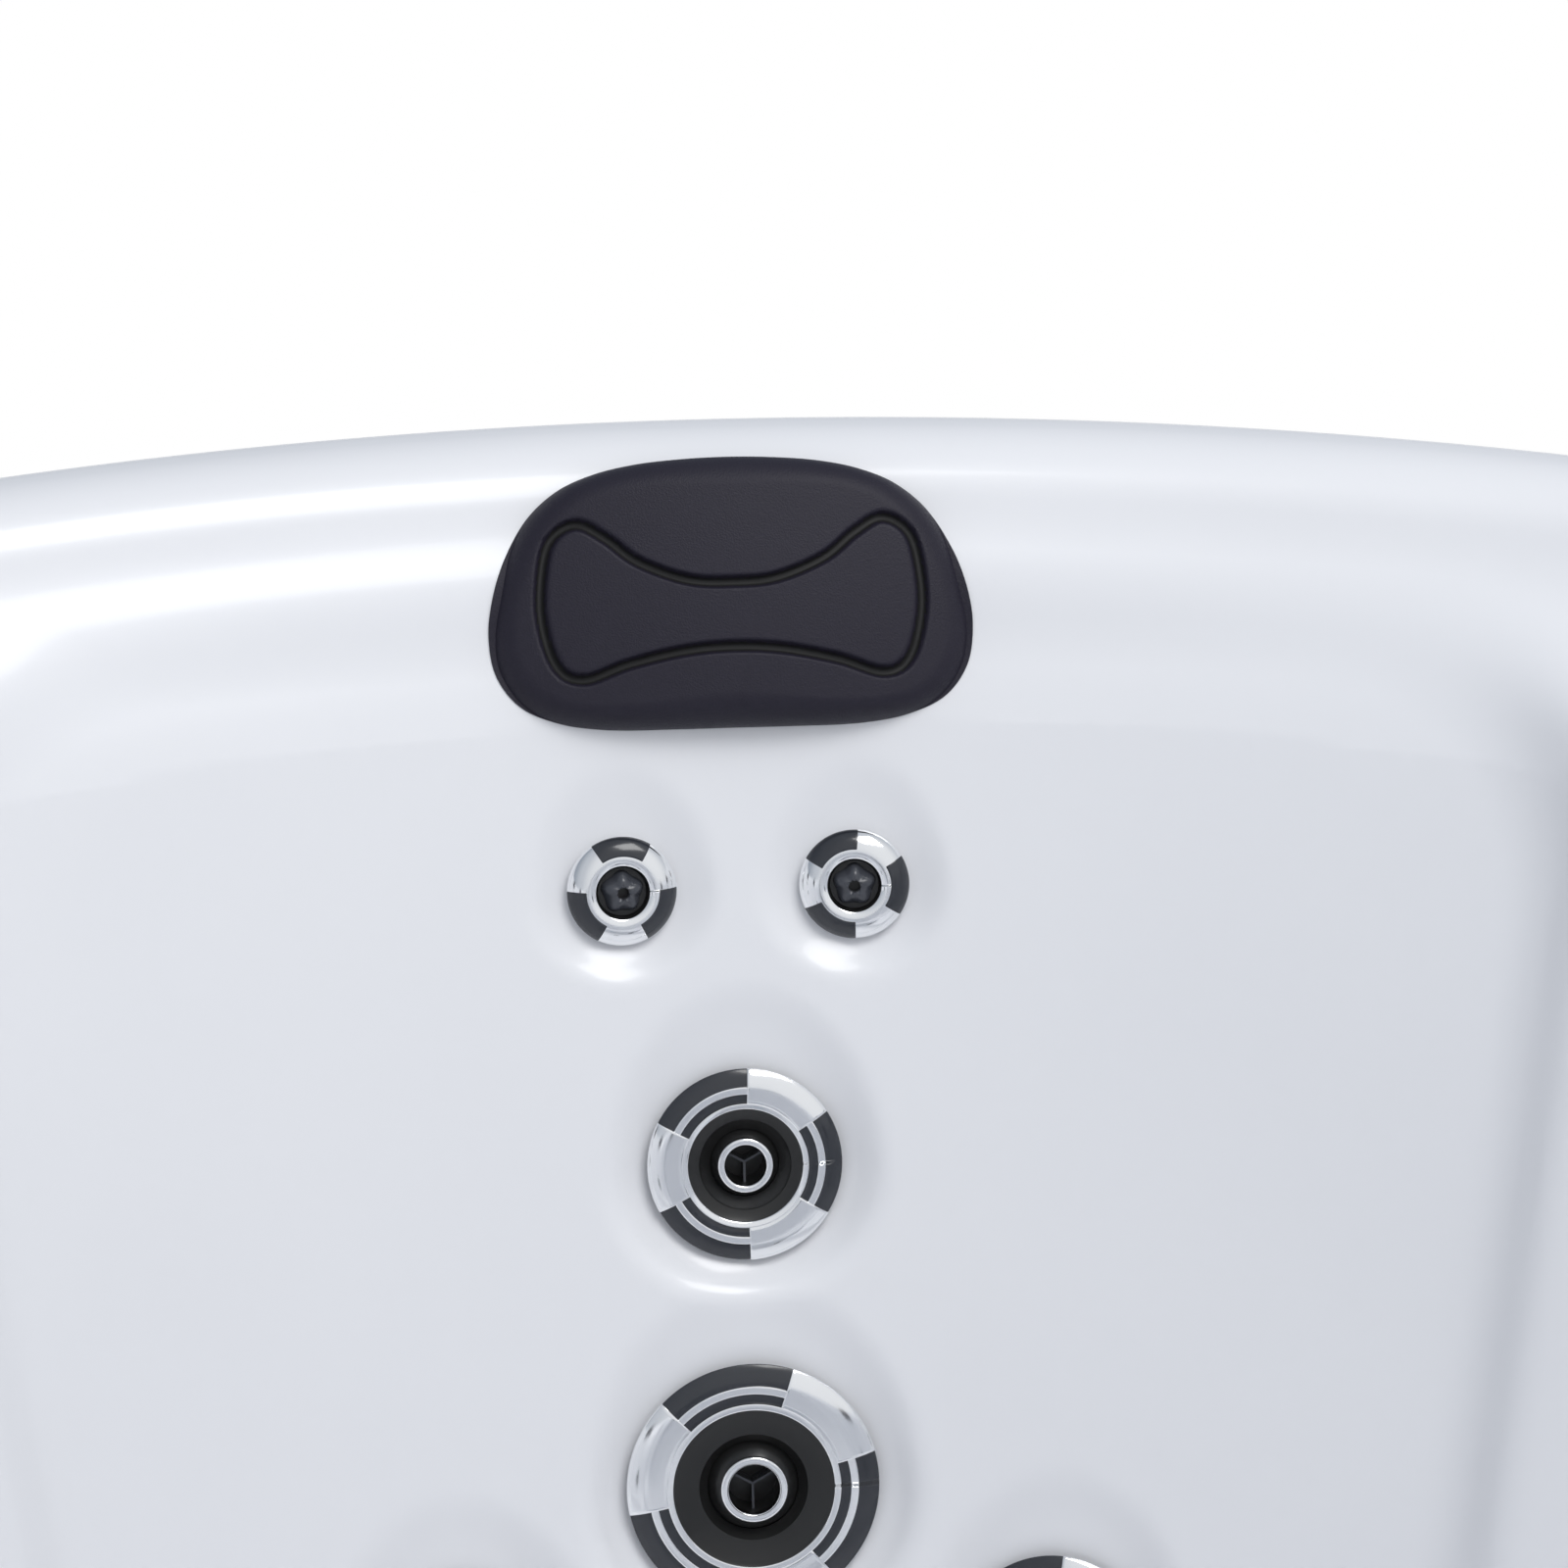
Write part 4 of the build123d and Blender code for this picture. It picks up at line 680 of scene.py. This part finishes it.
def face_height(share):
    """Height of a large face's chrome at a share of its radius."""
    fall = max(0.0, (share - 0.80) / 0.20)
    rise = max(0.0, (0.70 - share) / 0.115)
    return FACE_FRONT - 0.0030 * fall**2 - 0.0008 * rise**2


def ring_section(radius, inner, outer, drop, low, count=5):
    """Closed section of a ring that follows the face's crown."""
    top = []
    for index in range(count + 1):
        share = inner + (outer - inner) * index / count
        top.append((share * radius, face_height(share) - drop))
    return [(inner * radius, low)] + top + [(outer * radius, low)]


def large_jet(jet, looks):
    """Turning face of a medium or large jet, and its aimed nozzle."""
    kind = jet.kind
    place = jet.matrix()
    big = kind is POWER
    bowl = 0.635 if big else 0.585
    bands = (bowl, 0.69, 0.765, 0.83, 1.0) if big else (bowl, 0.65, 0.74, 0.82, 1.0)
    low = FACE_BACK + 0.001
    floor_ring = ring_section(kind.radius, bands[1], 0.995, 0.0012, low)
    bowl_ring = ring_section(kind.radius, bands[0], bands[1], 0, low)
    middle_ring = ring_section(kind.radius, bands[2], bands[3], 0.0002, low)
    dark = [fan_plate("p", floor_ring, 0, 360, looks["jet_dark"], place)]
    chrome = [fan_plate("p", bowl_ring, 0, 360, looks["jet_chrome"], place)]
    chrome.append(fan_plate("p", middle_ring, 0, 360, looks["jet_chrome"], place))
    for turn in range(3):
        start = kind.first + 120 * turn + WINDOW / 2
        section = ring_section(kind.radius, bands[1] - 0.01, bands[4], 0, low, 8)
        chrome.append(fan_plate("p", section, start, start + 120 - WINDOW, looks["jet_chrome"], place))
    skirt_radius = kind.radius * 0.985
    skirt = [(skirt_radius, low + 0.001), (skirt_radius, FACE_BACK), (kind.radius * 0.5, FACE_BACK)]
    dark.append(lathe("p", skirt, looks["jet_dark"], place=place))
    socket = kind.ball + 0.0004
    edge_z = FACE_BACK - SOCKET_EDGE_DROP
    edge_r = math.sqrt(socket**2 - (edge_z + kind.ball_depth) ** 2)
    rim = bowl * kind.radius
    step = 0.42 * kind.radius if big else 0.46 * kind.radius
    profile = [(rim, low), (rim, FACE_FRONT - 0.0014), (rim - 0.0012, FACE_FRONT - 0.0020)]
    ledge_z = FACE_BACK + 0.0015
    profile += [(step + 0.0016, ledge_z + 0.0012), (step + 0.0006, ledge_z + 0.0010)]
    profile += [(step, ledge_z), (edge_r, edge_z)]
    angle = math.degrees(math.atan2(edge_z + kind.ball_depth, edge_r))
    profile += round_run((0, -kind.ball_depth), socket, angle, -45, 10)
    black = lathe("p", profile, looks["jet_black"], place=place)
    face = join(jet.name + "_chrome", chrome)
    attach(face, jet.name + "_face")
    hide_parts(jet.name + "_face")
    inlay = join(jet.name + "_inlay", dark)
    bowl_piece = join(jet.name + "_bowl", [black])
    for piece in (inlay, bowl_piece):
        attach(piece, jet.name + "_face")
    aimed_nozzle(jet, looks, place)


def aimed_nozzle(jet, looks, place):
    """Ball and chrome-tipped spout."""
    kind = jet.kind
    start = math.degrees(math.asin(kind.bore / kind.ball))
    ball = round_run((0, -kind.ball_depth), kind.ball, 90 - start - 2, -40, 20)
    bottom = kind.depth - BORE_REACH
    inside = [(0, bottom), (kind.bore, bottom), (kind.bore, kind.tip_z - 0.0010)]
    ball_piece = lathe(jet.name + "_ball", inside + ball, looks["jet_black"], place=place)
    wall = kind.tip - kind.bore
    round_z = kind.tip_z - TIP_ROUND
    tip = [(kind.tip, 0.001), (kind.tip, round_z)]
    tip += round_run((kind.tip - TIP_ROUND, round_z), TIP_ROUND, 0, 90, 4)
    tip += round_run((kind.bore + TIP_ROUND, round_z), TIP_ROUND, 90, 180, 4)
    tip += [(kind.bore, round_z - wall)]
    tip_piece = lathe(jet.name + "_tip", tip, looks["jet_chrome"], place=place)
    vanes = []
    for turn in range(3):
        spin = Matrix.Rotation(math.radians(120 * turn + 30), 4, "Z")
        blade = [(0, bottom), (kind.bore, bottom), (kind.bore, 0.001), (0, 0.0)]
        points = [(x, side, z) for side in (-VANE_HALF, VANE_HALF) for x, z in blade]
        faces = [(0, 1, 2, 3), (4, 7, 6, 5), (0, 4, 5, 1), (1, 5, 6, 2), (2, 6, 7, 3), (3, 7, 4, 0)]
        vanes.append(placed("p", points, faces, looks["jet_cone"], place @ spin, 30))
    vane_piece = join(jet.name + "_vanes", vanes)
    for piece, slot in ((ball_piece, "jet_dark"), (tip_piece, "jet_chrome"), (vane_piece, "jet_dark")):
        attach(piece, jet.name + "_nozzle")
    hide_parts(jet.name + "_nozzle")


def neck_jet(jet, looks):
    """Small turning face with a five-lobed nozzle."""
    place = jet.matrix()
    radius = jet.kind.radius
    side = "left" if jet.name.endswith("left") else "right"
    first = FIRST_NECK[side]
    low = FACE_BACK
    crown = [(0.47, 0.0100), (0.50, 0.0108), (0.60, 0.0113), (0.72, 0.0110), (0.84, 0.0098)]
    crown += [(0.94, 0.0078), (1.0, 0.0058)]
    section = [(0.47 * radius, low)] + [(share * radius, height) for share, height in crown] + [(radius, low)]
    chrome = [fan_plate("p", section, 0, 360, looks["jet_chrome"], place)]
    dark = []
    window = [(share * radius, height + 0.0003) for share, height in crown[3:]]
    window = [(0.66 * radius, low + 0.001), (0.66 * radius, 0.0115)] + window
    window += [(1.002 * radius, 0.0050), (0.9 * radius, low + 0.001)]
    for turn in range(3):
        middle = first + 120 * turn
        dark.append(fan_plate("p", window, middle - 33, middle + 33, looks["jet_dark"], place))
    floor = FACE_FRONT - 0.0045
    cup = [(0.47 * radius, FACE_FRONT), (0.46 * radius, floor + 0.001), (0.44 * radius, floor), (0.0, floor)]
    black = lathe("p", cup, looks["jet_black"], place=place)
    star = star_nozzle(looks["jet_cone"], place, floor)
    chrome_piece = join(jet.name + "_chrome", chrome)
    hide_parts(jet.name)
    pieces = [(chrome_piece, "jet_chrome"), (join(jet.name + "_inlay", dark), "jet_dark")]
    pieces += [(join(jet.name + "_cup", [black]), "jet_dark"), (join(jet.name + "_star", [star]), "jet_dark")]
    for piece, slot in pieces:
        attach(piece, jet.name)


def star_nozzle(material, place, floor, lobes=5, count=120):
    """Fluted cone with rounded lobes and a bore."""
    rings = ((0.0112, 0.0, 0.15), (0.0104, 0.0030, 0.22), (0.0088, 0.0058, 0.30), (0.0066, 0.0074, 0.34),
             (0.0045, 0.0078, 0.30), (0.0030, 0.0070, 0.0), (0.0028, 0.0, 0.0))
    points = []
    for radius, height, depth in rings:
        for index in range(count):
            angle = 2 * math.pi * index / count
            wave = 1 - depth * 0.5 * (1 - math.cos(lobes * (angle - math.pi / 2)))
            points.append((radius * wave * math.cos(angle), radius * wave * math.sin(angle), floor + height))
    faces = []
    for ring in range(len(rings) - 1):
        for index in range(count):
            following = (index + 1) % count
            low = ring * count
            high = low + count
            faces.append((low + index, low + following, high + following, high + index))
    return placed("p", points, faces, material, place, 50)


# Pillows

PILLOW_Z = 0.896
PILLOW_NORMAL = math.radians(27.0)
PILLOW_FRONT = 0.026
PILLOW_CROWN = 0.62
PILLOW_EDGE = 0.017
GROOVE_HALF = 0.0027
GROOVE_DEPTH = 0.0050
# Half width of the strip along the channel whose faces are painted near black as its shade
CHANNEL_SHADE_REACH = 0.0021


def smooth_line(right, count):
    """Smooth closed line through points down the right side, mirrored to the left."""
    right = np.array(right)
    left = right[-2:0:-1] * np.array([-1, 1])
    corners = np.concatenate([right, left])
    before = np.roll(corners, 1, axis=0)
    after = np.roll(corners, -1, axis=0)
    beyond = np.roll(corners, -2, axis=0)
    line = []
    for a, b, c, d in zip(before, corners, after, beyond):
        for t in np.arange(count) / count:
            swing = (c - a) * t + (2 * a - 5 * b + 4 * c - d) * t**2 + (3 * b - a - 3 * c + d) * t**3
            line.append(b + 0.5 * swing)
    return np.array(line)


def pillow_outline(count):
    """Edge of a pillow: broad arched top, widest low down, nearly straight bottom."""
    return smooth_line([
        (0, 0.069), (0.024, 0.0683), (0.047, 0.0662), (0.068, 0.0617), (0.087, 0.0535), (0.103, 0.0395),
        (0.1145, 0.020), (0.1215, -0.001), (0.124, -0.021), (0.1205, -0.041), (0.108, -0.057),
        (0.087, -0.0655), (0.060, -0.0685), (0.030, -0.069), (0, -0.069),
    ], count)


def bow_tie(count):
    """Line of the channel sewn into a pillow's front."""
    return smooth_line([
        (0, 0.003), (0.0227, 0.0048), (0.047, 0.0145), (0.063, 0.027), (0.0775, 0.0345), (0.0905, 0.0270),
        (0.0955, 0.009), (0.0960, -0.014), (0.0890, -0.037), (0.0755, -0.0440), (0.053, -0.0370),
        (0.025, -0.0312), (0, -0.0295),
    ], count)


def line_distance(points, line):
    """Distance of each point to a closed line."""
    best = np.full(len(points), 1.0)
    following = np.roll(line, -1, axis=0)
    for a, b in zip(line, following):
        run = b - a
        along = np.clip(((points - a) @ run) / (run @ run + 1e-12), 0, 1)
        best = np.minimum(best, np.sqrt(((points - a - along[:, None] * run) ** 2).sum(axis=1)))
    return best


def wall_depth(place, flat):
    """Height of the wall in the pillow's frame, just clear of it, at (u, v) points."""
    turn = np.array(place.to_3x3())
    origin = np.array(place.translation)
    low = np.full(len(flat), -0.06)
    high = np.full(len(flat), 0.04)
    for _ in range(30):
        middle = (low + high) / 2
        points = origin + np.column_stack([flat, middle]) @ turn.T
        solid = air(points) > -0.0008
        low = np.where(solid, middle, low)
        high = np.where(solid, high, middle)
    return high


def make_pillow(material, groove):
    """Padded head rest of the photographed seat, with its sewn-in bow-tie channel, whose faces carry painted
    shade.
    """
    level = math.cos(PILLOW_NORMAL)
    out = Vector((0, -level, math.sin(PILLOW_NORMAL)))
    axes = Matrix((Vector((1, 0, 0)), out.cross(Vector((1, 0, 0))), out)).transposed().to_4x4()
    place = Matrix.Translation((0, float(back_radius(PILLOW_Z)), PILLOW_Z)) @ axes
    outline = pillow_outline(18)
    centre = np.array([0.0, -0.004])
    count = len(outline)
    rings = 112
    shares = 1 - np.linspace(0, 1, rings + 1)[:-1]
    flat = []
    height = []
    back_edge = wall_depth(place, outline)
    for lift in (0.0, 0.25, 0.5, 0.75):
        flat.append(outline)
        height.append(("side", lift))
    tie = bow_tie(6)
    for share in shares:
        flat.append(centre + (outline - centre) * share)
        height.append(("front", share))
    points = []
    reach = np.sqrt(((outline - centre) ** 2).sum(axis=1))
    crown_edge = PILLOW_FRONT - (outline**2).sum(axis=1) / (2 * PILLOW_CROWN) - PILLOW_EDGE
    for line, (sort, value) in zip(flat, height):
        if sort == "side":
            level_z = back_edge + (crown_edge - back_edge) * value
            inset = 1 - 0.012 * (1 - value) ** 2
            points.append(np.column_stack([centre + (line - centre) * inset, level_z]))
            continue
        inward = np.minimum(reach * (1 - value) / PILLOW_EDGE, 1)
        round_off = PILLOW_EDGE * (1 - np.sqrt(np.clip(1 - (1 - inward) ** 2, 0, 1)))
        level_z = PILLOW_FRONT - (line**2).sum(axis=1) / (2 * PILLOW_CROWN) - round_off
        gap = line_distance(line, tie)
        channel = np.exp(-((gap / GROOVE_HALF) ** 4)) * GROOVE_DEPTH
        points.append(np.column_stack([line, level_z - channel]))
    front = len(points)
    points.append(np.array([[centre[0], centre[1], PILLOW_FRONT]]))
    back = np.column_stack([outline * 0.9, wall_depth(place, outline * 0.9)])
    faces = []
    for ring in range(front - 1):
        for index in range(count):
            following = (index + 1) % count
            low = ring * count
            faces.append((low + index, low + count + index, low + count + following, low + following))
    last = (front - 1) * count
    top = front * count
    faces += [(last + index, top, last + (index + 1) % count) for index in range(count)]
    base = top + 1
    points.append(back)
    points.append(np.array([[0, 0, float(wall_depth(place, np.zeros((1, 2)))[0])]]))
    pairs = [(index, (index + 1) % count) for index in range(count)]
    faces += [(index, following, base + following, base + index) for index, following in pairs]
    faces += [(base + index, base + following, base + count) for index, following in pairs]
    mesh_points = np.concatenate(points)
    pillow = placed("head_pillow", mesh_points, faces, material, None, 60)
    pillow.data.materials.append(groove)
    centres = np.array([tuple(face.center) for face in pillow.data.polygons])
    # Faces along the channel take the near-black groove material: painted shade on top of the channel's real
    # depth
    channel_shade_faces = (line_distance(centres[:, :2], tie) < CHANNEL_SHADE_REACH) & (centres[:, 2] > 0)
    pillow.data.polygons.foreach_set("material_index", channel_shade_faces.astype(np.int32))
    pillow.data.transform(place)
    return pillow


def make_pillows(material, groove):
    """The photographed seat's pillow, and one like it on each other seat."""
    first = make_pillow(material, groove)
    names = ("pillow", "east_pillow", "west_pillow", "east_front_pillow", "west_front_pillow")
    for name, seat in zip(names, SEATS):
        piece = first
        if seat != PHOTO_SEAT:
            piece = bpy.data.objects.new(name + "_pad", first.data.copy())
            bpy.context.scene.collection.objects.link(piece)
            piece.data.transform(Matrix.Rotation(math.radians(seat - PHOTO_SEAT), 4, "Z"))
        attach(piece, "tub")
        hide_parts(name)


def make_backing(material):
    """Hidden side of the shell: foam-covered wall, seat pan and footwell."""
    wall = SHELL_WALL / math.cos(BACK_ANGLE)
    seat_low = SEAT_Z - SHELL_WALL
    profile = [(FOOTWELL_FLOOR_RADIUS + SHELL_WALL, FLOOR_Z - SHELL_WALL)]
    profile += [(FOOTWELL_TOP_RADIUS + SHELL_WALL, seat_low)]
    corner = float(back_radius(seat_low)) + wall
    profile += [(corner - 0.045, seat_low), (corner - 0.012, seat_low + 0.015)]
    profile += [(float(back_radius(seat_low + 0.050)) + wall, seat_low + 0.050)]
    profile += [(float(back_radius(BACK_BREAK_Z)) + wall, BACK_BREAK_Z)]
    profile += [(float(back_radius(FLANGE_LOW_Z)) + UPPER_WALL, FLANGE_LOW_Z)]
    profile += [(TUB_RADIUS - LIP_WALL, FLANGE_LOW_Z), (TUB_RADIUS - LIP_WALL, LIP_LOW_Z)]
    profile += [(TUB_RADIUS, LIP_LOW_Z)]
    backing = lathe("shell_backing", profile, material, segments=180, sharp=50)
    work = bmesh.new()
    work.from_mesh(backing.data)
    gone = []
    for face in work.faces:
        centre = face.calc_center_median()
        behind = abs(centre.x) < CONSOLE_HALF_WIDTH - SHELL_WALL and centre.y < CONSOLE_FACE_Y
        if behind and seat_low < centre.z < DECK_Z:
            gone.append(face)
    bmesh.ops.delete(work, geom=gone, context="FACES")
    work.to_mesh(backing.data)
    work.free()
    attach(backing, "tub")


# Stage

CAMERA_PLACE = (-0.173, -1.335, 1.756)
CAMERA_TURN = 5.0
CAMERA_PITCH = 22.7
CAMERA_ROLL = 0.2
CAMERA_LENS = 111.3
FLOOR_RADIUS = 3.0
KEY_PLACE = (0.80, -0.25, 3.2)
KEY_TARGET = (0, 0.8, 0.6)
KEY_SIZE = (1.5, 1.2)
KEY_POWER = 36
KEY_COLOUR = (1.0, 0.997, 0.99)
SKY_BRIGHT_SIDE = (0.40, -0.75, 0.55)
SKY_STOPS = ((0.0, (0.30, 0.335, 0.39)), (0.55, (0.52, 0.55, 0.60)), (1.0, (0.80, 0.815, 0.84)))
HORIZON_STOPS = ((0.0, (0.0, 0.0, 0.0)), (0.12, (1.0, 1.0, 1.0)))


def make_camera():
    """The photograph's view."""
    data = bpy.data.cameras.new("camera")
    data.lens = CAMERA_LENS
    data.sensor_width = 36.0
    data.sensor_fit = "HORIZONTAL"
    camera = bpy.data.objects.new("camera", data)
    bpy.context.scene.collection.objects.link(camera)
    turn = Matrix.Rotation(math.radians(-CAMERA_TURN), 4, "Z")
    pitch = Matrix.Rotation(math.radians(90 - CAMERA_PITCH), 4, "X")
    roll = Matrix.Rotation(math.radians(CAMERA_ROLL), 4, "Z")
    camera.matrix_world = Matrix.Translation(CAMERA_PLACE) @ turn @ pitch @ roll
    bpy.context.scene.camera = camera


def area_light(name, place, target, size, power, colour):
    """Rectangular light aimed at a point."""
    data = bpy.data.lights.new(name, "AREA")
    data.shape = "RECTANGLE"
    data.size, data.size_y = size
    data.energy = power
    data.color = colour
    light = bpy.data.objects.new(name, data)
    bpy.context.scene.collection.objects.link(light)
    light.location = place
    light.rotation_euler = (Vector(target) - Vector(place)).to_track_quat("-Z", "Y").to_euler()


def shade_between(tree, value, stops):
    """Colour that follows a value through (position, colour) stops."""
    node = tree.nodes.new("ShaderNodeValToRGB")
    node.color_ramp.interpolation = "EASE"
    for index, (position, colour) in enumerate(stops):
        if index < 2:
            stop = node.color_ramp.elements[index]
            stop.position = position
        else:
            stop = node.color_ramp.elements.new(position)
        stop.color = (*colour, 1)
    tree.links.new(value, node.inputs["Fac"])
    return node.outputs["Color"]


def make_world():
    """White surroundings up to the horizon, and a sky that is brightest behind the viewer."""
    world = bpy.data.worlds.new("studio")
    world.use_nodes = True
    tree = world.node_tree
    place = tree.nodes.new("ShaderNodeTexCoord").outputs["Generated"]
    split = tree.nodes.new("ShaderNodeSeparateXYZ")
    tree.links.new(place, split.inputs["Vector"])
    towards = tree.nodes.new("ShaderNodeVectorMath")
    towards.operation = "DOT_PRODUCT"
    towards.inputs[1].default_value = Vector(SKY_BRIGHT_SIDE).normalized()
    tree.links.new(place, towards.inputs[0])
    sky = shade_between(tree, towards.outputs["Value"], SKY_STOPS)
    horizon = shade_between(tree, split.outputs["Z"], HORIZON_STOPS)
    mix = tree.nodes.new("ShaderNodeMix")
    mix.data_type = "RGBA"
    tree.links.new(horizon, mix.inputs["Factor"])
    mix.inputs["A"].default_value = (1.0, 1.0, 1.0, 1)
    tree.links.new(sky, mix.inputs["B"])
    background = tree.nodes["Background"]
    tree.links.new(mix.outputs["Result"], background.inputs["Color"])
    background.inputs["Strength"].default_value = 1.0
    bpy.context.scene.world = world


def make_stage():
    """Round floor, surroundings and key light."""
    points = [(0, 0, 0)]
    faces = []
    count = 96
    for index in range(count):
        angle = 2 * math.pi * index / count
        points.append((FLOOR_RADIUS * math.cos(angle), FLOOR_RADIUS * math.sin(angle), 0))
        faces.append((0, 1 + index, 1 + (index + 1) % count))
    floor = mesh_object("floor", points, faces)
    floor.data.materials.append(finish_material("floor", grey(0.80), grey(0.84), 0.6, 0.7, 3.0))
    make_world()
    area_light("key_light", KEY_PLACE, KEY_TARGET, KEY_SIZE, KEY_POWER, KEY_COLOUR)
    scene = bpy.context.scene
    scene.view_settings.view_transform = "Standard"
    scene.view_settings.look = "None"


def dress_nodes(looks):
    """Gives every CAD node that stays its slot's material."""
    slots = {entry["node"]: entry["material_slot"] for entry in frame["record"]["subparts"]}
    for name, node in frame["nodes"].items():
        node.data.materials.clear()
        node.data.materials.append(looks[slots[name]])


looks = make_materials()
dress_nodes(looks)
shell = make_shell(looks["acrylic"])
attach(shell, "tub")
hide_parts("tub_shell")
make_backing(looks["foam"])
for jet in JETS:
    if jet.kind is NECK:
        neck_jet(jet, looks)
    else:
        large_jet(jet, looks)
make_pillows(looks["pillow"], looks["groove"])
make_stage()
make_camera()
